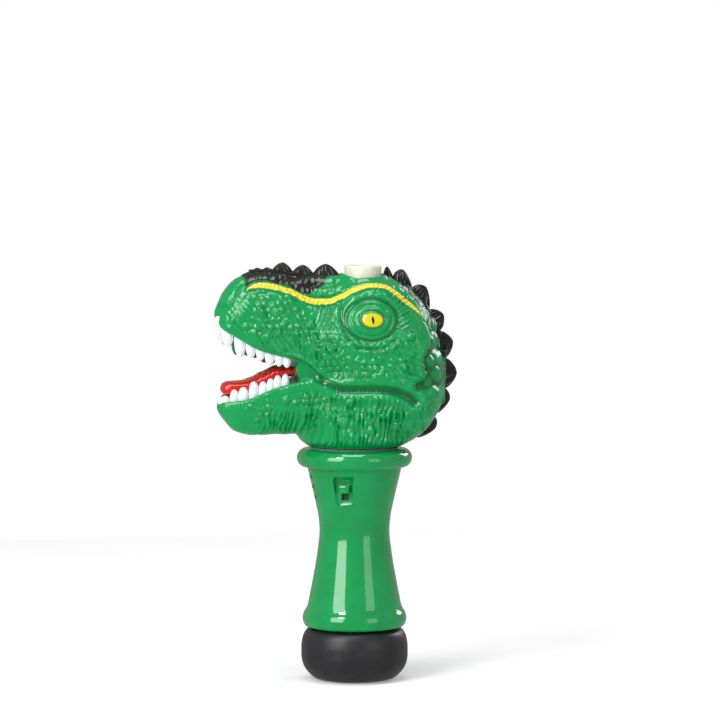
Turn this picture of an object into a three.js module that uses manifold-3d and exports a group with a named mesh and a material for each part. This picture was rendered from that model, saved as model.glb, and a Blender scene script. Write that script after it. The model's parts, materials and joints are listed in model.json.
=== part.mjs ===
// A toy bubble machine: a dinosaur head on an hourglass handle, standing on a round base.
// Millimetres, +Z up. The origin is the centre of the flat bottom, on the handle's axis.
// The snout points to -Y, and the animal's left side is +X.
import * as THREE from "three";
import { mergeVertices } from "three/addons/utils/BufferGeometryUtils.js";
import Module from "manifold-3d";

const wasm = await Module();
wasm.setup();

// ---------------------------------------------------------------------------------------------
// Driving dimensions
// ---------------------------------------------------------------------------------------------

const GAP = 0.3; // air left between two pieces that touch
const WALL = 2; // moulded shell thickness
const ROUND = 28; // sides of a large turned piece
const SMALL = 10; // sides of a small turned piece

// Base and handle: radius and height pairs of the turned outlines.
const BASE_TOP = 25.5;
const BASE_OUTLINE = [
  [0, 0], [18, 0], [21.6, 1.8], [25.2, 6], [26.75, 11],
  [26.75, 17], [25.6, 21.6], [22.2, BASE_TOP],
];
const SPIGOT = { outer: 19.9, inner: 17, top: 34 };
const BAYONET = { turn: 45, lugHalf: 8, slotHalf: 10, lugDepth: 1.8, low: 29.2, high: 31.8 };

const HANDLE_BOTTOM = 26;
const RING = { radius: 28.25, height: 111.4, low: 106.3, top: 116 };
const HANDLE_OUTLINE = [
  [22, HANDLE_BOTTOM], [25, 28.2], [26.1, 31], [24.3, 35], [23.05, 38.8],
  [18.75, 63], [17.5, 75], [19.4, 87.5], [23.4, 105.5],
  [27.2, RING.low + 1.8], [RING.radius, RING.height], [27.2, RING.top - 1.6], [24, RING.top],
];
const NECK_SEAT = { bore: 20.8, mouth: 21.9, ledge: 113.9 };
const HANDLE_BORE = 20.3;

// Slide switch: its direction from the handle's axis, and the recess that it sits in.
const SWITCH_TURN = -24; // degrees from +X towards the snout
const SWITCH = {
  height: 97, travel: 3.5, floor: 18.3, width: 11, low: 87, high: 103.5,
  slotWidth: 3.7, slotLow: 91.4, slotHigh: 99.2, wall: 1.5,
};
const VENT = { heights: [92, 97, 102], tall: 1.7, wide: 7 };

// Head: outlines in the middle plane, as Y and Z pairs from the snout to the nape.
const CROWN_LINE = [
  [-70.7, 184], [-66.2, 194], [-59.6, 201.5], [-50, 205.5], [-31.7, 203.5], [-10, 202],
  [13.9, 202], [28.6, 195.5], [37.3, 185], [43.3, 173], [45.9, 159],
];
const UPPER_LIP_LINE = [
  [-70.9, 181.5], [-62, 174.3], [-49, 167.3], [-36, 162.7], [-27, 160], [-18, 150],
  [-4, 140], [20, 134], [38, 140], [45.4, 156],
];
const LOWER_LIP_LINE = [
  [-68.9, 140.3], [-57.5, 141.3], [-42.7, 147.7], [-33, 151.5], [-20, 156], [-5, 166],
  [20, 174], [40, 170], [45.7, 158],
];
const CHIN_LINE = [
  [-68.6, 138], [-66, 131], [-60.5, 125], [-52, 123], [-31, 123.5], [-21, 118.6], [0, 117.5],
  [22, 118.4], [32.2, 122.5], [39, 130], [43, 138], [45.4, 149], [45.8, 155],
];
const NAPE_LINE = [
  [15, 201.8], [28.6, 195.5], [37.3, 185], [43.3, 173], [45.9, 159], [44.9, 145],
  [38.8, 129.5], [29, 120.3],
];
const BROW_LINE = [[-53, 204.8], [-42, 205], [-31.7, 203.5], [-20, 202.4], [-6.6, 202]];

// Half the head's width against Y.
const UPPER_WIDTH = [
  [-72, 5], [-69, 8.5], [-63, 12], [-45, 15.5], [-30, 18], [-15, 21.5], [0, 25.5],
  [15, 29], [28, 28], [38, 21.5], [46, 8],
];
const LOWER_WIDTH = [
  [-70, 5], [-66, 9], [-55, 13], [-40, 15], [-30, 17], [-15, 21], [0, 26],
  [15, 29.5], [28, 28], [38, 21.5], [46, 8],
];
const FULLNESS = 2.4; // superellipse exponent of a head section
const NECK_BOTTOM = 116.5;
const NECK_OUTLINE = [[0, NECK_BOTTOM], [21, NECK_BOTTOM], [24.1, 118], [27.6, 121.8], [27.6, 134], [0, 134]];
const NECK_INSIDE = [[0, 118.5], [21.9, 118.5], [25.4, 122.4], [25.4, 132], [0, 132]];
const NECK_HOLE = 19.6;
const THROAT = [[-31, 163.5], [-31, 150.8], [-21, 147.5], [-21, 163.5]];
const THROAT_HALF_WIDTH = 12.5;

// Each tooth: Y of its middle, height of its tip, length out of the lip, width at the root.
const UPPER_TEETH = [
  [-67.9, 174, 5.5, 3.2], [-64.8, 167.8, 9, 5.5], [-58.6, 162.6, 11, 5], [-53.5, 162.1, 8, 4.5],
  [-48.8, 160.8, 6.5, 4], [-44.3, 158.2, 7, 4.6], [-39.6, 157.6, 6, 3.6], [-35.8, 157.2, 5, 3.5],
];
const LOWER_TEETH = [
  [-66.1, 143.3, 3, 4.6], [-61.6, 146.5, 5, 4], [-57.1, 147.8, 6.3, 4.6], [-52, 150.6, 7.5, 4.4],
  [-47.3, 150.6, 6.5, 4], [-44.1, 152.1, 5, 3.4], [-40.4, 153.6, 5.5, 3.8], [-36.7, 154.3, 4.2, 3.4],
];
const TOOTH = { root: 3.4, beside: 0.64 }; // root's run into the lip, place across the half width

// Crest spikes: base, apex, base, as Y and Z pairs.
const SNOUT_SPIKES = [
  [[-51.4, 203.5], [-48.9, 206.3], [-46, 203.5]],
  [[-46.5, 203.5], [-43.9, 206.4], [-41, 203.5]],
  [[-41.8, 203], [-35.7, 209.2], [-31.4, 202]],
  [[-31.2, 202], [-25.8, 207.7], [-20.8, 201]],
  [[-20.5, 201], [-14.4, 208.1], [-8.5, 200.5]],
];
const NAPE_SPIKES = [
  [[15.2, 200], [15.6, 206.4], [18.6, 206], [19.4, 198]],
  [[19.5, 198], [20.4, 203.8], [28.3, 203], [28.5, 194]],
  [[28.8, 193.5], [37, 195.5], [36.4, 183]],
  [[37, 183.5], [45.1, 182.5], [42.3, 175]],
  [[42.3, 172.5], [50.2, 169], [44.6, 161]],
  [[44.8, 159.5], [52.2, 153], [43.6, 146]],
  [[44.2, 144.5], [48.4, 139.7], [40.3, 133]],
  [[38.8, 130.5], [40.3, 125.5], [30.5, 121.8]],
];
const CREST = { half: 3, depth: 3, rail: 2 };

// Tongue: top and bottom outlines, and half its width against Y.
const TONGUE_TOP = [[-67.4, 145.6], [-65.6, 149], [-58, 150], [-47, 153.8], [-38, 157.2], [-31.8, 156.6]];
const TONGUE_BOTTOM = [[-67.4, 144.4], [-64.5, 142.6], [-57, 142.5], [-44, 148], [-36, 151.4], [-31.8, 152.6]];
const TONGUE_WIDTH = [[-68, 3], [-65, 5.4], [-58, 6.6], [-45, 8.2], [-31, 9]];

// Bubble outlet, on its own upright axis.
const OUTLET_Y = 4.3;
const NOZZLE = { outer: 9.25, bore: 7.6, low: 190.6, top: 207.5 };
const LID_COLLAR = { inner: 9.6, outer: 11.2, top: 198.5 };
const NOZZLE_LOCK = { turn: 60, lugHalf: 12, slotHalf: 15, lugDepth: 0.9, low: 193, high: 195 };
const CROWN_HOLE = 11.6;

// Solution tank and what stands in it.
const TANK = { halfWidth: 16, front: -12, back: 24, low: 154, top: 188, corner: 6, wall: 1.5 };
const CHIMNEY = { inner: 6.9, outer: 8.3 };
const LID_TOP = 190;
const MIST_Y = 19.6;
const DUCT = { outer: 6.4, inner: 5.4, top: 195 };
const DUCT_PATH = [
  [0, -11, 122.8], [0, -11, 131], [0, -9, 137], [0, -3, 143.5], [0, 2.5, 149],
  [0, OUTLET_Y, 155], [0, OUTLET_Y, 162], [0, OUTLET_Y, DUCT.top],
];

// Gear train and pump: a ten-tooth pinion drives 30/10 and then 30 teeth.
const GEAR = { module: 0.5, small: 10, large: 30, toothPart: 0.38 };
const CENTRES = (GEAR.module * (GEAR.small + GEAR.large)) / 2;
const PUMP_Y = 2 * CENTRES;
const PUMP = { inner: 11.8, outer: 13, low: 134.3, floor: 1.2, top: 143, tubeLoop: 10.4 };
const ROLLER = { radius: 2.9, bore: 1.4, orbit: 6, low: 137.6, high: 141.2 };
const SHAFT = 1;

// Motor, fan and neck.
const MOTOR = { radius: 10, halfFlat: 7.6, low: 79, high: 104 };
const FAN = { radius: 16.6, blades: 7, low: 106.7, high: 111.6 };
const PLATE = { low: 120.8, high: 122.3, radius: 21 };

// Battery tray with three AA cells.
const CELL = { radius: 7.25, length: 49.3, nub: 1.2, orbit: 8.6, low: 6.6 };
const TRAY = { radius: 15.3, plate: 1.5, low: 3.4, top: 58.8 };

// Screws run along X, in from the right-hand side: Y, Z, depth of the head below the middle plane.
const HEAD_SCREWS = [[-50, 188, 11], [-52, 131.5, 9], [36, 150, 16], [31, 182, 16]];
const HANDLE_SCREWS = [[-9, 65, 11.5], [9, 65, 11.5], [-14, 86, 7.5], [17.4, 98, 7.5]];
const SCREW = { radius: 1.2, headRadius: 2.4, headLength: 1.6, reach: 7, boss: 2.9, clearance: 1.55 };

// ---------------------------------------------------------------------------------------------
// Finishes
// ---------------------------------------------------------------------------------------------

function finish(color, roughness, metalness = 0) {
  return new THREE.MeshStandardMaterial({ color, roughness, metalness });
}

const FINISH = {
  headGreen: finish(0x00a04b, 0.32),
  handleGreen: finish(0x009c48, 0.18),
  crestBlack: finish(0x26221f, 0.45),
  baseBlack: finish(0x2b2b2e, 0.55),
  trayBlack: finish(0x1c1c1e, 0.6),
  tongueRed: finish(0xc81408, 0.2),
  cream: finish(0xf0eede, 0.4),
  greyPlastic: finish(0xb9bcbf, 0.45),
  milky: finish(0xdfe6ea, 0.3),
  acetal: finish(0xf2f2ee, 0.4),
  steel: finish(0xb4b8bb, 0.3, 1),
  brass: finish(0xc6a24a, 0.35, 1),
  cellWrap: finish(0x3b4a66, 0.4, 0.2),
  boardGreen: finish(0x1c5c38, 0.5),
  silicone: finish(0xe6e0d4, 0.5),
  cotton: finish(0xf3efe6, 0.95),
  redWire: finish(0xb01818, 0.5),
  blackWire: finish(0x18181a, 0.5),
};

// ---------------------------------------------------------------------------------------------
// Shape helpers. Each returns a manifold-3d solid.
// ---------------------------------------------------------------------------------------------

function solidOf(geometry) {
  const plain = geometry.clone();
  plain.deleteAttribute("normal");
  plain.deleteAttribute("uv");
  const merged = mergeVertices(plain, 1e-4);
  return new wasm.Manifold(
    new wasm.Mesh({
      numProp: 3,
      vertProperties: merged.attributes.position.array,
      triVerts: new Uint32Array(merged.index.array),
    }),
  );
}

function geometryOf(solid) {
  const mesh = solid.getMesh();
  const positions = new Float32Array(mesh.numVert * 3);
  for (let i = 0; i < mesh.numVert; i++) {
    const start = i * mesh.numProp;
    positions.set(mesh.vertProperties.subarray(start, start + 3), i * 3);
  }
  const geometry = new THREE.BufferGeometry();
  geometry.setAttribute("position", new THREE.BufferAttribute(positions, 3));
  geometry.setIndex(new THREE.BufferAttribute(new Uint32Array(mesh.triVerts), 1));
  geometry.computeVertexNormals();
  return geometry;
}

function join(...solids) {
  return solids.reduce((whole, piece) => whole.add(piece));
}

function cut(solid, ...tools) {
  return tools.reduce((left, tool) => left.subtract(tool), solid);
}

function block(low, high) {
  const size = high.map((value, i) => value - low[i]);
  const middle = high.map((value, i) => (value + low[i]) / 2);
  return solidOf(new THREE.BoxGeometry(...size).translate(...middle));
}

// An upright rod between two heights, at x and y.
function rod(radius, low, high, [x, y] = [0, 0], sides = SMALL) {
  const geometry = new THREE.CylinderGeometry(radius, radius, high - low, sides);
  return solidOf(geometry.rotateX(Math.PI / 2).translate(x, y, (low + high) / 2));
}

// A rod along X.
function crossRod(radius, from, to, y, z, sides = SMALL) {
  const geometry = new THREE.CylinderGeometry(radius, radius, to - from, sides);
  return solidOf(geometry.rotateZ(-Math.PI / 2).translate((from + to) / 2, y, z));
}

// A turned piece about an upright axis. The profile runs upwards outside and down inside.
function turned(profile, sides = ROUND, [x, y] = [0, 0]) {
  const points = profile.map(([r, z]) => new THREE.Vector2(r, z));
  const geometry = new THREE.LatheGeometry(points, sides);
  return solidOf(geometry.rotateX(Math.PI / 2).translate(x, y, 0));
}

function ring(outer, inner, low, high, centre = [0, 0], sides = ROUND) {
  const profile = [[inner, low], [outer, low], [outer, high], [inner, high], [inner, low]];
  return turned(profile, sides, centre);
}

// A flat shape in the XY plane, raised between two heights.
function raised(shape, low, high) {
  const options = { depth: high - low, bevelEnabled: false, curveSegments: 4 };
  return solidOf(new THREE.ExtrudeGeometry(shape, options).translate(0, 0, low));
}

// An outline in the YZ plane, given a thickness across X.
function crossPlate(points, half) {
  const shape = new THREE.Shape(points.map(([y, z]) => new THREE.Vector2(y, z)));
  const geometry = new THREE.ExtrudeGeometry(shape, { depth: 2 * half, bevelEnabled: false });
  const turn = new THREE.Matrix4().makeBasis(
    new THREE.Vector3(0, 1, 0),
    new THREE.Vector3(0, 0, 1),
    new THREE.Vector3(1, 0, 0),
  );
  return solidOf(geometry.applyMatrix4(turn).translate(-half, 0, 0));
}

function circle(radius, sides) {
  const points = [];
  for (let i = 0; i < sides; i++) {
    const angle = (2 * Math.PI * i) / sides;
    points.push(new THREE.Vector2(radius * Math.cos(angle), radius * Math.sin(angle)));
  }
  return points;
}

// A tube or a solid cord along a smooth path.
function tube(path, radius, bore, sides, steps) {
  const curve = new THREE.CatmullRomCurve3(path.map((p) => new THREE.Vector3(...p)), false, "centripetal");
  const shape = new THREE.Shape(circle(radius, sides));
  if (bore > 0) shape.holes.push(new THREE.Path(circle(bore, sides).reverse()));
  const options = { steps, extrudePath: curve, bevelEnabled: false };
  return solidOf(new THREE.ExtrudeGeometry(shape, options));
}

function curveOf(points) {
  return new THREE.SplineCurve(points.map(([y, z]) => new THREE.Vector2(y, z)));
}

// A smooth function through pairs of place and value.
function widthAt(pairs) {
  const places = pairs.map(([place]) => place);
  const values = pairs.map(([, value]) => value);
  const interpolant = new THREE.CubicInterpolant(places, values, 1);
  return (y) => interpolant.evaluate(THREE.MathUtils.clamp(y, places[0], places.at(-1)))[0];
}

function power(value, exponent) {
  return Math.sign(value) * Math.abs(value) ** exponent;
}

// A body of superellipse ribs between a top line and a bottom line, made smaller all round by
// the inset. Ribs join points at the same part of each line's length.
function ribbed(top, bottom, width, { inset = 0, ribs = 18, sides = 18, start = 0.012 } = {}) {
  const rings = [];
  for (let i = 0; i <= ribs; i++) {
    const along = THREE.MathUtils.lerp(start, 1 - start, (1 - Math.cos((Math.PI * i) / ribs)) / 2);
    const high = top.getPointAt(along);
    const low = bottom.getPointAt(along);
    const middle = high.clone().add(low).multiplyScalar(0.5);
    const rise = high.clone().sub(low);
    const half = rise.length() / 2 - inset;
    const across = width(middle.x) - inset;
    if (half < 0.6 || across < 0.6) continue;
    rise.normalize();
    rings.push(rib(middle, rise, half, across, sides));
  }
  return solidOf(lofted(rings));
}

function rib(middle, rise, half, across, sides) {
  const points = [];
  for (let j = 0; j < sides; j++) {
    const angle = (2 * Math.PI * j) / sides;
    const x = across * power(Math.cos(angle), 2 / FULLNESS);
    const up = half * power(Math.sin(angle), 2 / FULLNESS);
    points.push(new THREE.Vector3(x, middle.x + up * rise.x, middle.y + up * rise.y));
  }
  return points;
}

// A closed skin over a row of rings with the same number of points.
function lofted(rings) {
  const count = rings[0].length;
  const points = rings.flat();
  const faces = [];
  for (let i = 0; i + 1 < rings.length; i++) {
    for (let j = 0; j < count; j++) {
      const here = i * count + j;
      const next = i * count + ((j + 1) % count);
      faces.push(here, here + count, next + count, here, next + count, next);
    }
  }
  const last = points.length - count;
  const centres = [rings[0], rings.at(-1)].map(middleOf);
  points.push(...centres);
  for (let j = 0; j < count; j++) {
    const next = (j + 1) % count;
    faces.push(points.length - 2, j, next);
    faces.push(points.length - 1, last + next, last + j);
  }
  const geometry = new THREE.BufferGeometry().setFromPoints(points);
  geometry.setIndex(faces);
  return geometry;
}

function middleOf(points) {
  const sum = points.reduce((total, p) => total.add(p), new THREE.Vector3());
  return sum.divideScalar(points.length);
}

// A band along a line in the middle plane, between two offsets from it, outwards positive.
function band(line, from, to, inner, outer, half, steps = 16) {
  const inside = [];
  const outside = [];
  for (let i = 0; i <= steps; i++) {
    const along = THREE.MathUtils.lerp(from, to, i / steps);
    const point = line.getPointAt(along);
    const way = line.getTangentAt(along);
    const outwards = [-way.y, way.x];
    inside.push([point.x + inner * outwards[0], point.y + inner * outwards[1]]);
    outside.push([point.x + outer * outwards[0], point.y + outer * outwards[1]]);
  }
  return crossPlate([...outside, ...inside.reverse()], half);
}

// Opposed bayonet lugs, or the slots for them: sectors between two radii and two heights.
function sectors(inner, outer, low, high, turn, halfAngle, centre = [0, 0]) {
  const pieces = [0, 180].map((side) => {
    const from = THREE.MathUtils.degToRad(side + turn - halfAngle);
    const to = THREE.MathUtils.degToRad(side + turn + halfAngle);
    const shape = new THREE.Shape();
    shape.absarc(centre[0], centre[1], outer, from, to, false);
    shape.absarc(centre[0], centre[1], inner, to, from, true);
    return raised(shape, low, high);
  });
  return join(...pieces);
}

// A spur gear about an upright axis, with one tooth in the direction of its phase.
function gear(teeth, low, high, phase, centre) {
  const pitch = (GEAR.module * teeth) / 2;
  const step = (2 * Math.PI) / teeth;
  const points = [];
  const root = GEAR.toothPart * 0.75;
  const tip = GEAR.toothPart * 0.32;
  const corners = [[-root, -1.2], [-tip, 0.9], [tip, 0.9], [root, -1.2]];
  for (let i = 0; i < teeth; i++) {
    for (const [part, reach] of corners) {
      const angle = phase + (i + part) * step;
      const radius = pitch + reach * GEAR.module;
      const x = centre[0] + radius * Math.cos(angle);
      points.push(new THREE.Vector2(x, centre[1] + radius * Math.sin(angle)));
    }
  }
  return raised(new THREE.Shape(points), low, high);
}

const root = new THREE.Group();

function add(name, solid, material) {
  const mesh = new THREE.Mesh(geometryOf(solid), material);
  mesh.name = name;
  root.add(mesh);
}

// The two halves of a shell that is split in the middle plane.
function addHalves(name, solid, material) {
  const far = 80;
  const tall = 250;
  add(`${name}_left`, solid.intersect(block([GAP / 2, -far, 0], [far, far, tall])), material);
  add(`${name}_right`, solid.intersect(block([-far, -far, 0], [-GAP / 2, far, tall])), material);
}

// Screw bosses, the holes through them, and the screws themselves.
function bossesFor(rows, body) {
  const far = 40;
  return join(...rows.map(([y, z]) => crossRod(SCREW.boss, -far, far, y, z))).intersect(body);
}

function screwHolesFor(rows) {
  const far = 40;
  const end = SCREW.reach + GAP;
  const holes = rows.map(([y, z, depth]) =>
    join(
      crossRod(SCREW.clearance, -far, end, y, z, 10),
      crossRod(SCREW.headRadius + GAP, -far, -depth + SCREW.headLength, y, z),
    ),
  );
  return join(...holes);
}

function addScrews(name, rows) {
  rows.forEach(([y, z, depth], i) => {
    const seat = -depth + SCREW.headLength - GAP;
    const shank = crossRod(SCREW.radius, seat - SCREW.headLength / 2, SCREW.reach, y, z, 6);
    const head = crossRod(SCREW.headRadius, seat - SCREW.headLength, seat, y, z, 10);
    const far = -depth - SCREW.headLength;
    const slot = block([far, y - 0.4, z - 3], [seat - 0.8, y + 0.4, z + 3]);
    add(`${name}_${i + 1}`, cut(join(shank, head), slot), FINISH.steel);
  });
}

// ---------------------------------------------------------------------------------------------
// Base cap and batteries
// ---------------------------------------------------------------------------------------------

function buildBase() {
  const floor = 3;
  const cup = turned([
    ...BASE_OUTLINE,
    [SPIGOT.outer, BASE_TOP], [SPIGOT.outer, SPIGOT.top], [SPIGOT.inner, SPIGOT.top],
    [SPIGOT.inner, BASE_TOP - 2.6], [21.4, BASE_TOP - 3.4], [23.9, 17], [23.9, 10], [17, floor],
    [0, floor],
  ]);
  const reach = SPIGOT.outer + BAYONET.lugDepth;
  const lugs = sectors(SPIGOT.outer - 1, reach, BAYONET.low, BAYONET.high, 0, BAYONET.lugHalf);
  add("base_cap", join(cup, lugs), FINISH.baseBlack);
}

function cellPlace(i) {
  const angle = THREE.MathUtils.degToRad(90 + 120 * i);
  return [CELL.orbit * Math.cos(angle), CELL.orbit * Math.sin(angle)];
}

function buildBatteries() {
  const trayHigh = TRAY.top + TRAY.plate;
  const posts = [30, 150, 270].map((degrees) => {
    const angle = THREE.MathUtils.degToRad(degrees);
    return rod(1.3, TRAY.low, trayHigh, [13.9 * Math.cos(angle), 13.9 * Math.sin(angle)], 8);
  });
  const tray = join(
    rod(TRAY.radius, TRAY.low, TRAY.low + TRAY.plate, [0, 0], ROUND),
    rod(TRAY.radius, TRAY.top, trayHigh, [0, 0], ROUND),
    ...posts,
  );
  add("battery_tray", tray, FINISH.trayBlack);

  const cellTop = CELL.low + CELL.length;
  for (let i = 0; i < 3; i++) {
    const place = cellPlace(i);
    const cell = join(
      rod(CELL.radius, CELL.low, cellTop, place, 20),
      rod(2.7, cellTop - 1, cellTop + CELL.nub, place, 10),
    );
    add(`battery_${i + 1}`, cell, FINISH.cellWrap);
    const foot = TRAY.low + TRAY.plate + GAP;
    const cone = [[0, foot], [4.4, foot], [2.4, CELL.low - GAP], [0, CELL.low - GAP]];
    add(`battery_spring_${i + 1}`, turned(cone, 12, place), FINISH.steel);
  }
  const contactLow = cellTop + CELL.nub + GAP;
  add("battery_contact", rod(12.4, contactLow, contactLow + 0.6, [0, 0], 20), FINISH.brass);
}

// ---------------------------------------------------------------------------------------------
// Handle shells
// ---------------------------------------------------------------------------------------------

function handleCavity() {
  const bore = [
    [0, HANDLE_BOTTOM - 1], [HANDLE_BORE, HANDLE_BOTTOM - 1], [HANDLE_BORE, 42], [18.9, 51.75],
    [16.7, 63], [15.5, 75], [17.3, 87.5], [NECK_SEAT.bore, 104], [NECK_SEAT.bore, NECK_SEAT.ledge],
    [NECK_SEAT.mouth, NECK_SEAT.ledge], [NECK_SEAT.mouth, RING.top + 1], [0, RING.top + 1],
  ];
  const groove = { outer: SPIGOT.outer + BAYONET.lugDepth + GAP, low: BAYONET.low - GAP };
  return join(
    turned(bore),
    ring(groove.outer, HANDLE_BORE - 1, groove.low, BAYONET.high + GAP),
    sectors(
      HANDLE_BORE - 1, groove.outer, HANDLE_BOTTOM - 1, BAYONET.low + 1, BAYONET.turn, BAYONET.slotHalf,
    ),
  );
}

// Turns a solid drawn along +X to the switch's direction.
function turnedToSwitch(solid) {
  return solid.rotate([0, 0, SWITCH_TURN]);
}

function switchPocket(floor, grow) {
  const half = SWITCH.width / 2 + grow;
  return turnedToSwitch(
    join(
      block([floor, -half, SWITCH.low + 3 - grow], [30, half, SWITCH.high + grow]),
      block([floor, -half + 2.5, SWITCH.low - grow], [30, half - 2.5, SWITCH.high]),
    ),
  );
}

function buildHandle() {
  const outline = [[0, HANDLE_BOTTOM], ...HANDLE_OUTLINE, [0, RING.top]];
  const slotHalf = SWITCH.slotWidth / 2;
  const slot = turnedToSwitch(block([14, -slotHalf, SWITCH.slotLow], [22, slotHalf, SWITCH.slotHigh]));
  const body = turned(outline);
  const pocketWall = switchPocket(SWITCH.floor - SWITCH.wall, SWITCH.wall).intersect(body);
  const cavity = cut(handleCavity(), pocketWall, bossesFor(HANDLE_SCREWS, body));
  const vents = VENT.heights.map((z) =>
    block([-VENT.wide / 2, -35, z - VENT.tall / 2], [VENT.wide / 2, -12, z + VENT.tall / 2]),
  );
  const shell = cut(
    body, cavity, switchPocket(SWITCH.floor, 0), slot, ...vents, screwHolesFor(HANDLE_SCREWS),
  );
  addHalves("handle_shell", shell, FINISH.handleGreen);
  addScrews("handle_screw", HANDLE_SCREWS);
}

// ---------------------------------------------------------------------------------------------
// Switch, motor, fan and neck
// ---------------------------------------------------------------------------------------------

function buildSwitch() {
  const z = SWITCH.height;
  const front = SWITCH.floor + GAP;
  const bodyFront = SWITCH.floor - SWITCH.wall - GAP;
  const cap = block([front, -2.6, z - 2.1], [front + 2.6, 2.6, z + 2.1]);
  const nib = block([front + 1.5, -2.6, z - 0.5], [front + 3.3, 2.6, z + 0.5]);
  const stem = block([bodyFront + GAP, -1.4, z - 1], [front + 1, 1.4, z + 1]);
  add("switch_knob", turnedToSwitch(join(cap, nib, stem)), FINISH.handleGreen);
  add("switch_body", turnedToSwitch(block([11.8, -3.5, 89], [bodyFront, 3.5, 103])), FINISH.steel);

  const board = join(
    block([-6.4, 12.6, 84], [6.4, 14.2, 102.5]),
    block([-3, 11.2, 90], [3, 13, 95]),
    block([2, 11.4, 97.5], [5, 13, 100.5]),
    block([-5, 11.6, 86], [-2.5, 13, 88]),
  );
  add("control_board", board, FINISH.boardGreen);
}

function buildDrive() {
  const can = rod(MOTOR.radius, MOTOR.low, MOTOR.high, [0, 0], 32).intersect(
    block([-MOTOR.halfFlat, -20, 70], [MOTOR.halfFlat, 20, 110]),
  );
  add("motor", join(can, rod(3.2, MOTOR.high - 1, MOTOR.high + 1, [0, 0], 20)), FINISH.steel);

  const pinion = gear(GEAR.small, 126.5, 129.5, Math.PI / 2, [0, 0]);
  add("motor_shaft", join(rod(SHAFT, MOTOR.high + 1 + GAP, 130.3, [0, 0], 12), pinion), FINISH.brass);

  const bladeStart = 3;
  const blades = [];
  for (let i = 0; i < FAN.blades; i++) {
    const blade = block([bladeStart, -0.5, FAN.low], [FAN.radius - 0.2, 0.5, FAN.high]);
    blades.push(blade.rotate([0, 0, (360 * i) / FAN.blades]));
  }
  const fan = join(
    rod(FAN.radius, FAN.low, FAN.low + 0.9, [0, 0], ROUND),
    rod(3.6, FAN.low, FAN.high + 0.2, [0, 0], 14),
    ...blades,
  );
  add("fan_impeller", cut(fan, rod(SHAFT + GAP, 100, 120, [0, 0], 12)), FINISH.acetal);

  const housing = turned([
    [8, 105.3], [19.4, 105.3], [19.4, 112.2], [18, 112.2], [18, 106.3], [8, 106.3], [8, 105.3],
  ]);
  add("fan_housing", housing, FINISH.greyPlastic);

  const collar = turned([
    [17.4, 112.6], [20.4, 112.6], [20.4, 114.2], [21.5, 114.2], [21.5, 116.2], [19.2, 116.2],
    [19.2, 118.9], [21.4, 118.9], [21.4, 120.4], [17.4, 120.4], [17.4, 112.6],
  ]);
  add("neck_collar", collar, FINISH.greyPlastic);
}

// ---------------------------------------------------------------------------------------------
// Gears and pump
// ---------------------------------------------------------------------------------------------

function buildGears() {
  const { low, high, radius } = PLATE;
  const plate = join(
    rod(radius, low, high, [0, 0], ROUND),
    block([-5, 14, low], [5, PUMP_Y + 2.8, high]),
    rod(5, low, high + 4.5, [0, -11], 24),
  );
  const holes = [
    rod(SHAFT + 0.6, low - 1, high + 1, [0, 0], 12),
    rod(4, low - 1, high + 6, [0, -11], 24),
  ];
  add("gear_plate", cut(plate, ...holes), FINISH.acetal);

  add("idler_axle", rod(SHAFT, high + GAP, PUMP.low - GAP, [0, CENTRES], 12), FINISH.steel);
  const idler = join(
    gear(GEAR.large, 126.5, 129.5, 0, [0, CENTRES]),
    gear(GEAR.small, 129, 133, Math.PI / 2, [0, CENTRES]),
  );
  add("idler_gear", cut(idler, rod(SHAFT + GAP, 120, 140, [0, CENTRES], 12)), FINISH.acetal);
}

function rollerPlace(i) {
  const angle = THREE.MathUtils.degToRad(90 + 120 * i);
  return [ROLLER.orbit * Math.cos(angle), PUMP_Y + ROLLER.orbit * Math.sin(angle)];
}

function buildPump() {
  const centre = [0, PUMP_Y];
  const floorTop = PUMP.low + PUMP.floor;
  const pins = [0, 1, 2].map((i) => rod(SHAFT, 136.5, ROLLER.high + 0.6, rollerPlace(i), 12));
  const rotor = join(
    gear(GEAR.large, 130, 133, 0, centre),
    rod(1.5, PLATE.high + GAP, 131, centre),
    rod(2.4, 132, 137, centre),
    rod(8, floorTop + 0.5, floorTop + 1.7, centre, 32),
    ...pins,
  );
  add("pump_rotor", rotor, FINISH.acetal);
  for (let i = 0; i < 3; i++) {
    const roller = ring(ROLLER.radius, ROLLER.bore, ROLLER.low, ROLLER.high, rollerPlace(i), 20);
    add(`pump_roller_${i + 1}`, roller, FINISH.steel);
  }

  const legs = [-1, 1].map((side) => {
    const xs = [side * 12, side * 14].sort((a, b) => a - b);
    return block([xs[0], PUMP_Y - 11, PLATE.high + GAP], [xs[1], PUMP_Y - 8, floorTop]);
  });
  const cup = join(
    rod(PUMP.outer, PUMP.low, floorTop, centre, ROUND),
    ring(PUMP.outer, PUMP.inner, PUMP.low, PUMP.top, centre, ROUND),
    block([-14, PUMP_Y - 11, PUMP.low], [14, PUMP_Y - 6, floorTop]),
    ...legs,
  );
  const doors = [-1, 1].map((side) => {
    const xs = [side * 8.8, side * 12].sort((a, b) => a - b);
    return block([xs[0], PUMP_Y - 13, 137.6], [xs[1], PUMP_Y - 1, PUMP.top + 1]);
  });
  add("pump_housing", cut(cup, rod(2.9, 130, 140, centre), ...doors), FINISH.greyPlastic);
  add("pump_cover", rod(PUMP.outer, PUMP.top + GAP, PUMP.top + 1.5, centre, ROUND), FINISH.milky);
}

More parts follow.
